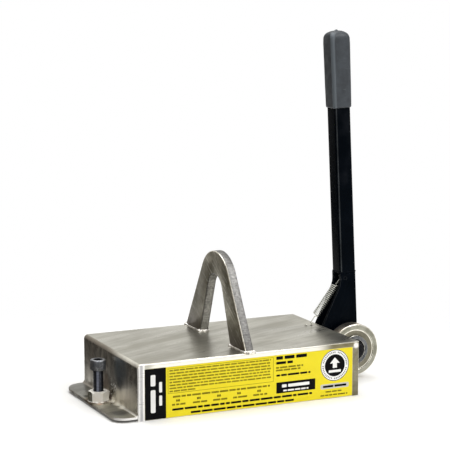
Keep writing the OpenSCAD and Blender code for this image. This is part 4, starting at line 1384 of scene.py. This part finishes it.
def build_fasteners():
    def axle(node):
        lo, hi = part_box(node)
        return Vector(((lo.x + hi.x) / 2, 0, (lo.z + hi.z) / 2)), lo, hi

    # Roller bolt: head with a washer face, plain shank and threaded end
    centre, lo, hi = axle("roller_bolt")
    flat = (hi.z - lo.z) / 2
    shank = flat * 2 / 3
    washer_lo, washer_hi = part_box("roller_bolt_washer")
    head = hex_body(flat, lo.y, washer_lo.y - 0.4 * MM, "y", centre)
    collar = revolve([(0, washer_lo.y - 0.45 * MM), (flat * 0.93, washer_lo.y - 0.45 * MM), (flat *
                0.93, washer_lo.y), (0, washer_lo.y)], 64, "y", centre)
    nut_lo, nut_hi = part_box("roller_bolt_nut")
    end = hi.y
    rows = [(0, washer_lo.y), (shank, washer_lo.y), (shank, nut_lo.y)]
    rows += [(0.92 * shank, nut_lo.y + 0.5 * MM), (0.92 * shank, nut_hi.y - 0.2 * MM)]
    step = 0.98 * MM
    y = nut_hi.y
    while y < end - 0.6 * MM:
        rows += [(shank, y), (shank * 0.9, y + step / 2)]
        y += step
    rows += [(shank * 0.88, end - 0.4 * MM), (shank * 0.8, end), (0, end)]
    body = revolve(rows, 48, "y", centre)
    piece("roller_axle_bolt", join(head, collar, body), "roller_bolt", OXIDE_DARK, smooth_deg=35)

    r = (washer_hi.x - washer_lo.x) / 2
    rows = rounded([(shank + 0.1 * MM, washer_lo.y), (r, washer_lo.y), (r, washer_hi.y), (shank +
                0.1 * MM, washer_hi.y)], [0.0, 0.6 * MM, 0.3 * MM, 0.0], steps=3)
    piece("axle_washer", revolve(rows, 72, "y", centre, loop=True), "roller_bolt_washer",
        OXIDE_DARK)
    nut = hex_body(flat, nut_lo.y, nut_hi.y, "y", centre, bore=shank)
    piece("axle_nut", nut, "roller_bolt_nut", ZINC, smooth_deg=30)

    centre, lo, hi = axle("pivot_bolt")
    flat = (hi.z - lo.z) / 2
    shank = flat * 2 / 3
    lug_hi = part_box("pivot_lug_back")[1].y
    head = hex_body(flat, lug_hi + 0.02 * MM, hi.y, "y", centre)
    rows = [(0, lo.y), (shank - 1 * MM, lo.y), (shank, lo.y + 1 * MM), (shank, lug_hi + 0.1 * MM),
        (0, lug_hi + 0.1 * MM)]
    body = revolve(rows, 48, "y", centre)
    piece("pivot_cap_bolt", join(head, body), "pivot_bolt", OXIDE, smooth_deg=35)


def build_lug_welds():
    parts = []
    for node, side in (("pivot_lug_front", -1), ("pivot_lug_back", 1)):
        lo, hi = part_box(node)
        y = lo.y if side < 0 else hi.y
        z0, z1 = lo.z + 1 * MM, hi.z - 1 * MM
        if side < 0:
            z1 = (lo.z + hi.z) / 2
        path = [(lo.x + 0.2 * MM, y, z0), (lo.x + 0.2 * MM, y, z1)]
        size = 1.7 * MM if side < 0 else 2.3 * MM
        parts.append(weld_bead(path, lambda t, size=size: size, (1, 0, 0), seed=31 + side))
    piece("lug_weld_beads", join(*parts), "lug_welds", WELD, smooth_deg=60)


# Nodes whose CAD shape is right and only wants its edges eased
EASED = (("pole_bars", "pole_pieces", POLE, 0.5, 2), ("filler_strips", "pole_fillers", FILLER, 0.3,
        2), ("pivot_lug_front", "lug_near", LUG_STEEL, 0.7, 3), ("pivot_lug_back", "lug_far",
        LUG_STEEL, 0.7, 3), ("pivot_bushings", "pivot_bushes", BRONZE, 0.2, 2),
    ("spring_anchor_pin", "anchor_pin", PAINT, 0.4, 3), ("roller_bushing", "axle_bush", OXIDE_DARK,
        0.4, 2), ("roller_spacer", "axle_spacer", ZINC, 0.4, 2), ("cheek_spacer",
        "cheek_tube_spacer", ZINC, 0.4, 2), ("magnet_blocks", "magnet_tiles", FERRITE, 0.8, 2),
    ("spacer_plate", "filler_board", WOOD, 0.6, 2), ("tie_rod_nuts", "rod_nuts", ZINC, 0.5, 2),
    ("tie_rods", "rods", ZINC, 0.4, 2))

build_housing()
build_bail()
build_label()
build_jack()
build_lever()
build_spring()
build_bearing()
build_fasteners()
build_lug_welds()
for node, name, material, width, segments in EASED:
    bm = soften(cad_mesh(node), width * MM, segments=segments, angle_deg=50)
    piece(name, bm, node, material)
keep("bearing_balls", BALL)
keep("bearing_cage", CAGE)


# ----------------------------------------------------------------------- stage


def floor():
    """A pale floor round the object that fades into the white surroundings."""
    rings, count, reach = 48, 96, 1.6
    low = min(CAD_BOX[0].z, 0.0)
    bm = bmesh.new()
    centre = bm.verts.new((0, 0, low))
    last = None
    for k in range(1, rings + 1):
        r = reach * (k / rings) ** 1.3
        row = [bm.verts.new((r * math.cos(a), r * math.sin(a), low)) for a in (2 * math.pi * i /
                count for i in range(count))]
        for i in range(count):
            j = (i + 1) % count
            bm.faces.new([centre, row[i], row[j]] if last is None else [last[i], row[i], row[j],
                    last[j]])
        last = row
    mesh = bpy.data.meshes.new("studio_floor")
    bm.to_mesh(mesh)
    bm.free()
    obj = bpy.data.objects.new("studio_floor", mesh)
    bpy.context.scene.collection.objects.link(obj)
    s = Shader("floor_paint")
    grain = s.noise(60, detail=3)
    s.set(Base_Color=s.blend(grain, (0.93, 0.93, 0.925), (0.95, 0.95, 0.945)), Roughness=0.8)
    s.set(Specular_IOR_Level=0.1)
    # Seen directly it is pale; on the jack end's side it is reflected as a dark flag would be
    path = s.add("ShaderNodeLightPath")
    camera_ray = path.outputs["Is Camera Ray"]
    flag = s.add("ShaderNodeBsdfDiffuse", {"Color": (0.05, 0.045, 0.04)})
    left = s.spread(s.axis("X"), -0.13, -0.24)
    dark = s.add("ShaderNodeMixShader", {0: s.times(left, s.minus(1.0, camera_ray))})
    s.tree.links.new(s.bsdf.outputs[0], dark.inputs[1])
    s.tree.links.new(flag.outputs[0], dark.inputs[2])
    clear = s.add("ShaderNodeBsdfTransparent")
    away = s.spread(s.distance_to((0, 0, low)), 0.26, 0.62)
    fade = s.add("ShaderNodeMixShader", {0: s.times(away, camera_ray)})
    s.tree.links.new(dark.outputs[0], fade.inputs[1])
    s.tree.links.new(clear.outputs[0], fade.inputs[2])
    s.tree.links.new(fade.outputs[0], s.out.inputs[0])
    mesh.materials.append(s.material)


def light(name, where, target, size, power, colour=(1, 1, 1), size_y=None):
    data = bpy.data.lights.new(name, "AREA")
    data.shape = "RECTANGLE"
    data.size, data.size_y = size, size_y or size
    data.energy = power
    data.color = colour
    obj = bpy.data.objects.new(name, data)
    bpy.context.scene.collection.objects.link(obj)
    obj.location = where
    obj.rotation_mode = "QUATERNION"
    obj.rotation_quaternion = (Vector(where) - Vector(target)).to_track_quat("Z", "Y")
    return obj


def studio():
    world = bpy.data.worlds.new("studio")
    bpy.context.scene.world = world
    world.use_nodes = True
    tree = world.node_tree
    tree.nodes.clear()
    new = tree.nodes.new
    out = new("ShaderNodeOutputWorld")
    seen, lit = new("ShaderNodeBackground"), new("ShaderNodeBackground")
    seen.inputs[0].default_value = (1, 1, 1, 1)
    seen.inputs[1].default_value = 1.0
    coord = new("ShaderNodeTexCoord")
    split = new("ShaderNodeSeparateXYZ")
    tree.links.new(coord.outputs["Generated"], split.inputs[0])
    dark_side = new("ShaderNodeMapRange")
    dark_side.interpolation_type = "SMOOTHSTEP"
    for i, v in ((1, -0.15), (2, -0.65), (3, 0.0), (4, 1.0)):
        dark_side.inputs[i].default_value = v
    tree.links.new(split.outputs[0], dark_side.inputs[0])
    ramp = new("ShaderNodeMix")
    ramp.data_type = "RGBA"
    tree.links.new(dark_side.outputs[0], ramp.inputs[0])
    ramp.inputs[6].default_value = (0.86, 0.85, 0.82, 1)
    ramp.inputs[7].default_value = (0.22, 0.20, 0.18, 1)
    tree.links.new(ramp.outputs[2], lit.inputs[0])
    lit.inputs[1].default_value = 0.85
    path, mix = new("ShaderNodeLightPath"), new("ShaderNodeMixShader")
    tree.links.new(path.outputs["Is Camera Ray"], mix.inputs[0])
    tree.links.new(lit.outputs[0], mix.inputs[1])
    tree.links.new(seen.outputs[0], mix.inputs[2])
    tree.links.new(mix.outputs[0], out.inputs[0])

    aim = (0.0, 0.0, 0.12)
    light("key", (1.2, -1.4, 2.2), aim, 1.4, 27)
    light("top", (-0.1, 0.6, 2.4), aim, 2.0, 34)
    light("front_fill", (-1.6, -2.3, 1.1), aim, 1.6, 18, size_y=1.2)


def camera():
    """Looks from the photograph's side: 25 degrees left of the front and 9 degrees up."""
    azimuth, elevation = math.radians(-24.94), math.radians(8.97)
    back = Vector((math.sin(azimuth) * math.cos(elevation), -math.cos(azimuth) *
            math.cos(elevation), math.sin(elevation)))
    right = (-back).cross(Vector((0, 0, 1))).normalized()
    up = right.cross(-back).normalized()
    target = right * 6.8 * MM + up * 232.4 * MM
    data = bpy.data.cameras.new("camera")
    data.sensor_width = 36
    data.lens = 136
    data.clip_start, data.clip_end = 0.1, 60
    obj = bpy.data.objects.new("camera", data)
    bpy.context.scene.collection.objects.link(obj)
    obj.location = target + back * 2.383
    obj.rotation_mode = "QUATERNION"
    obj.rotation_quaternion = back.to_track_quat("Z", "Y")
    bpy.context.scene.camera = obj


floor()
studio()
camera()
bpy.context.scene.view_settings.view_transform = "Standard"
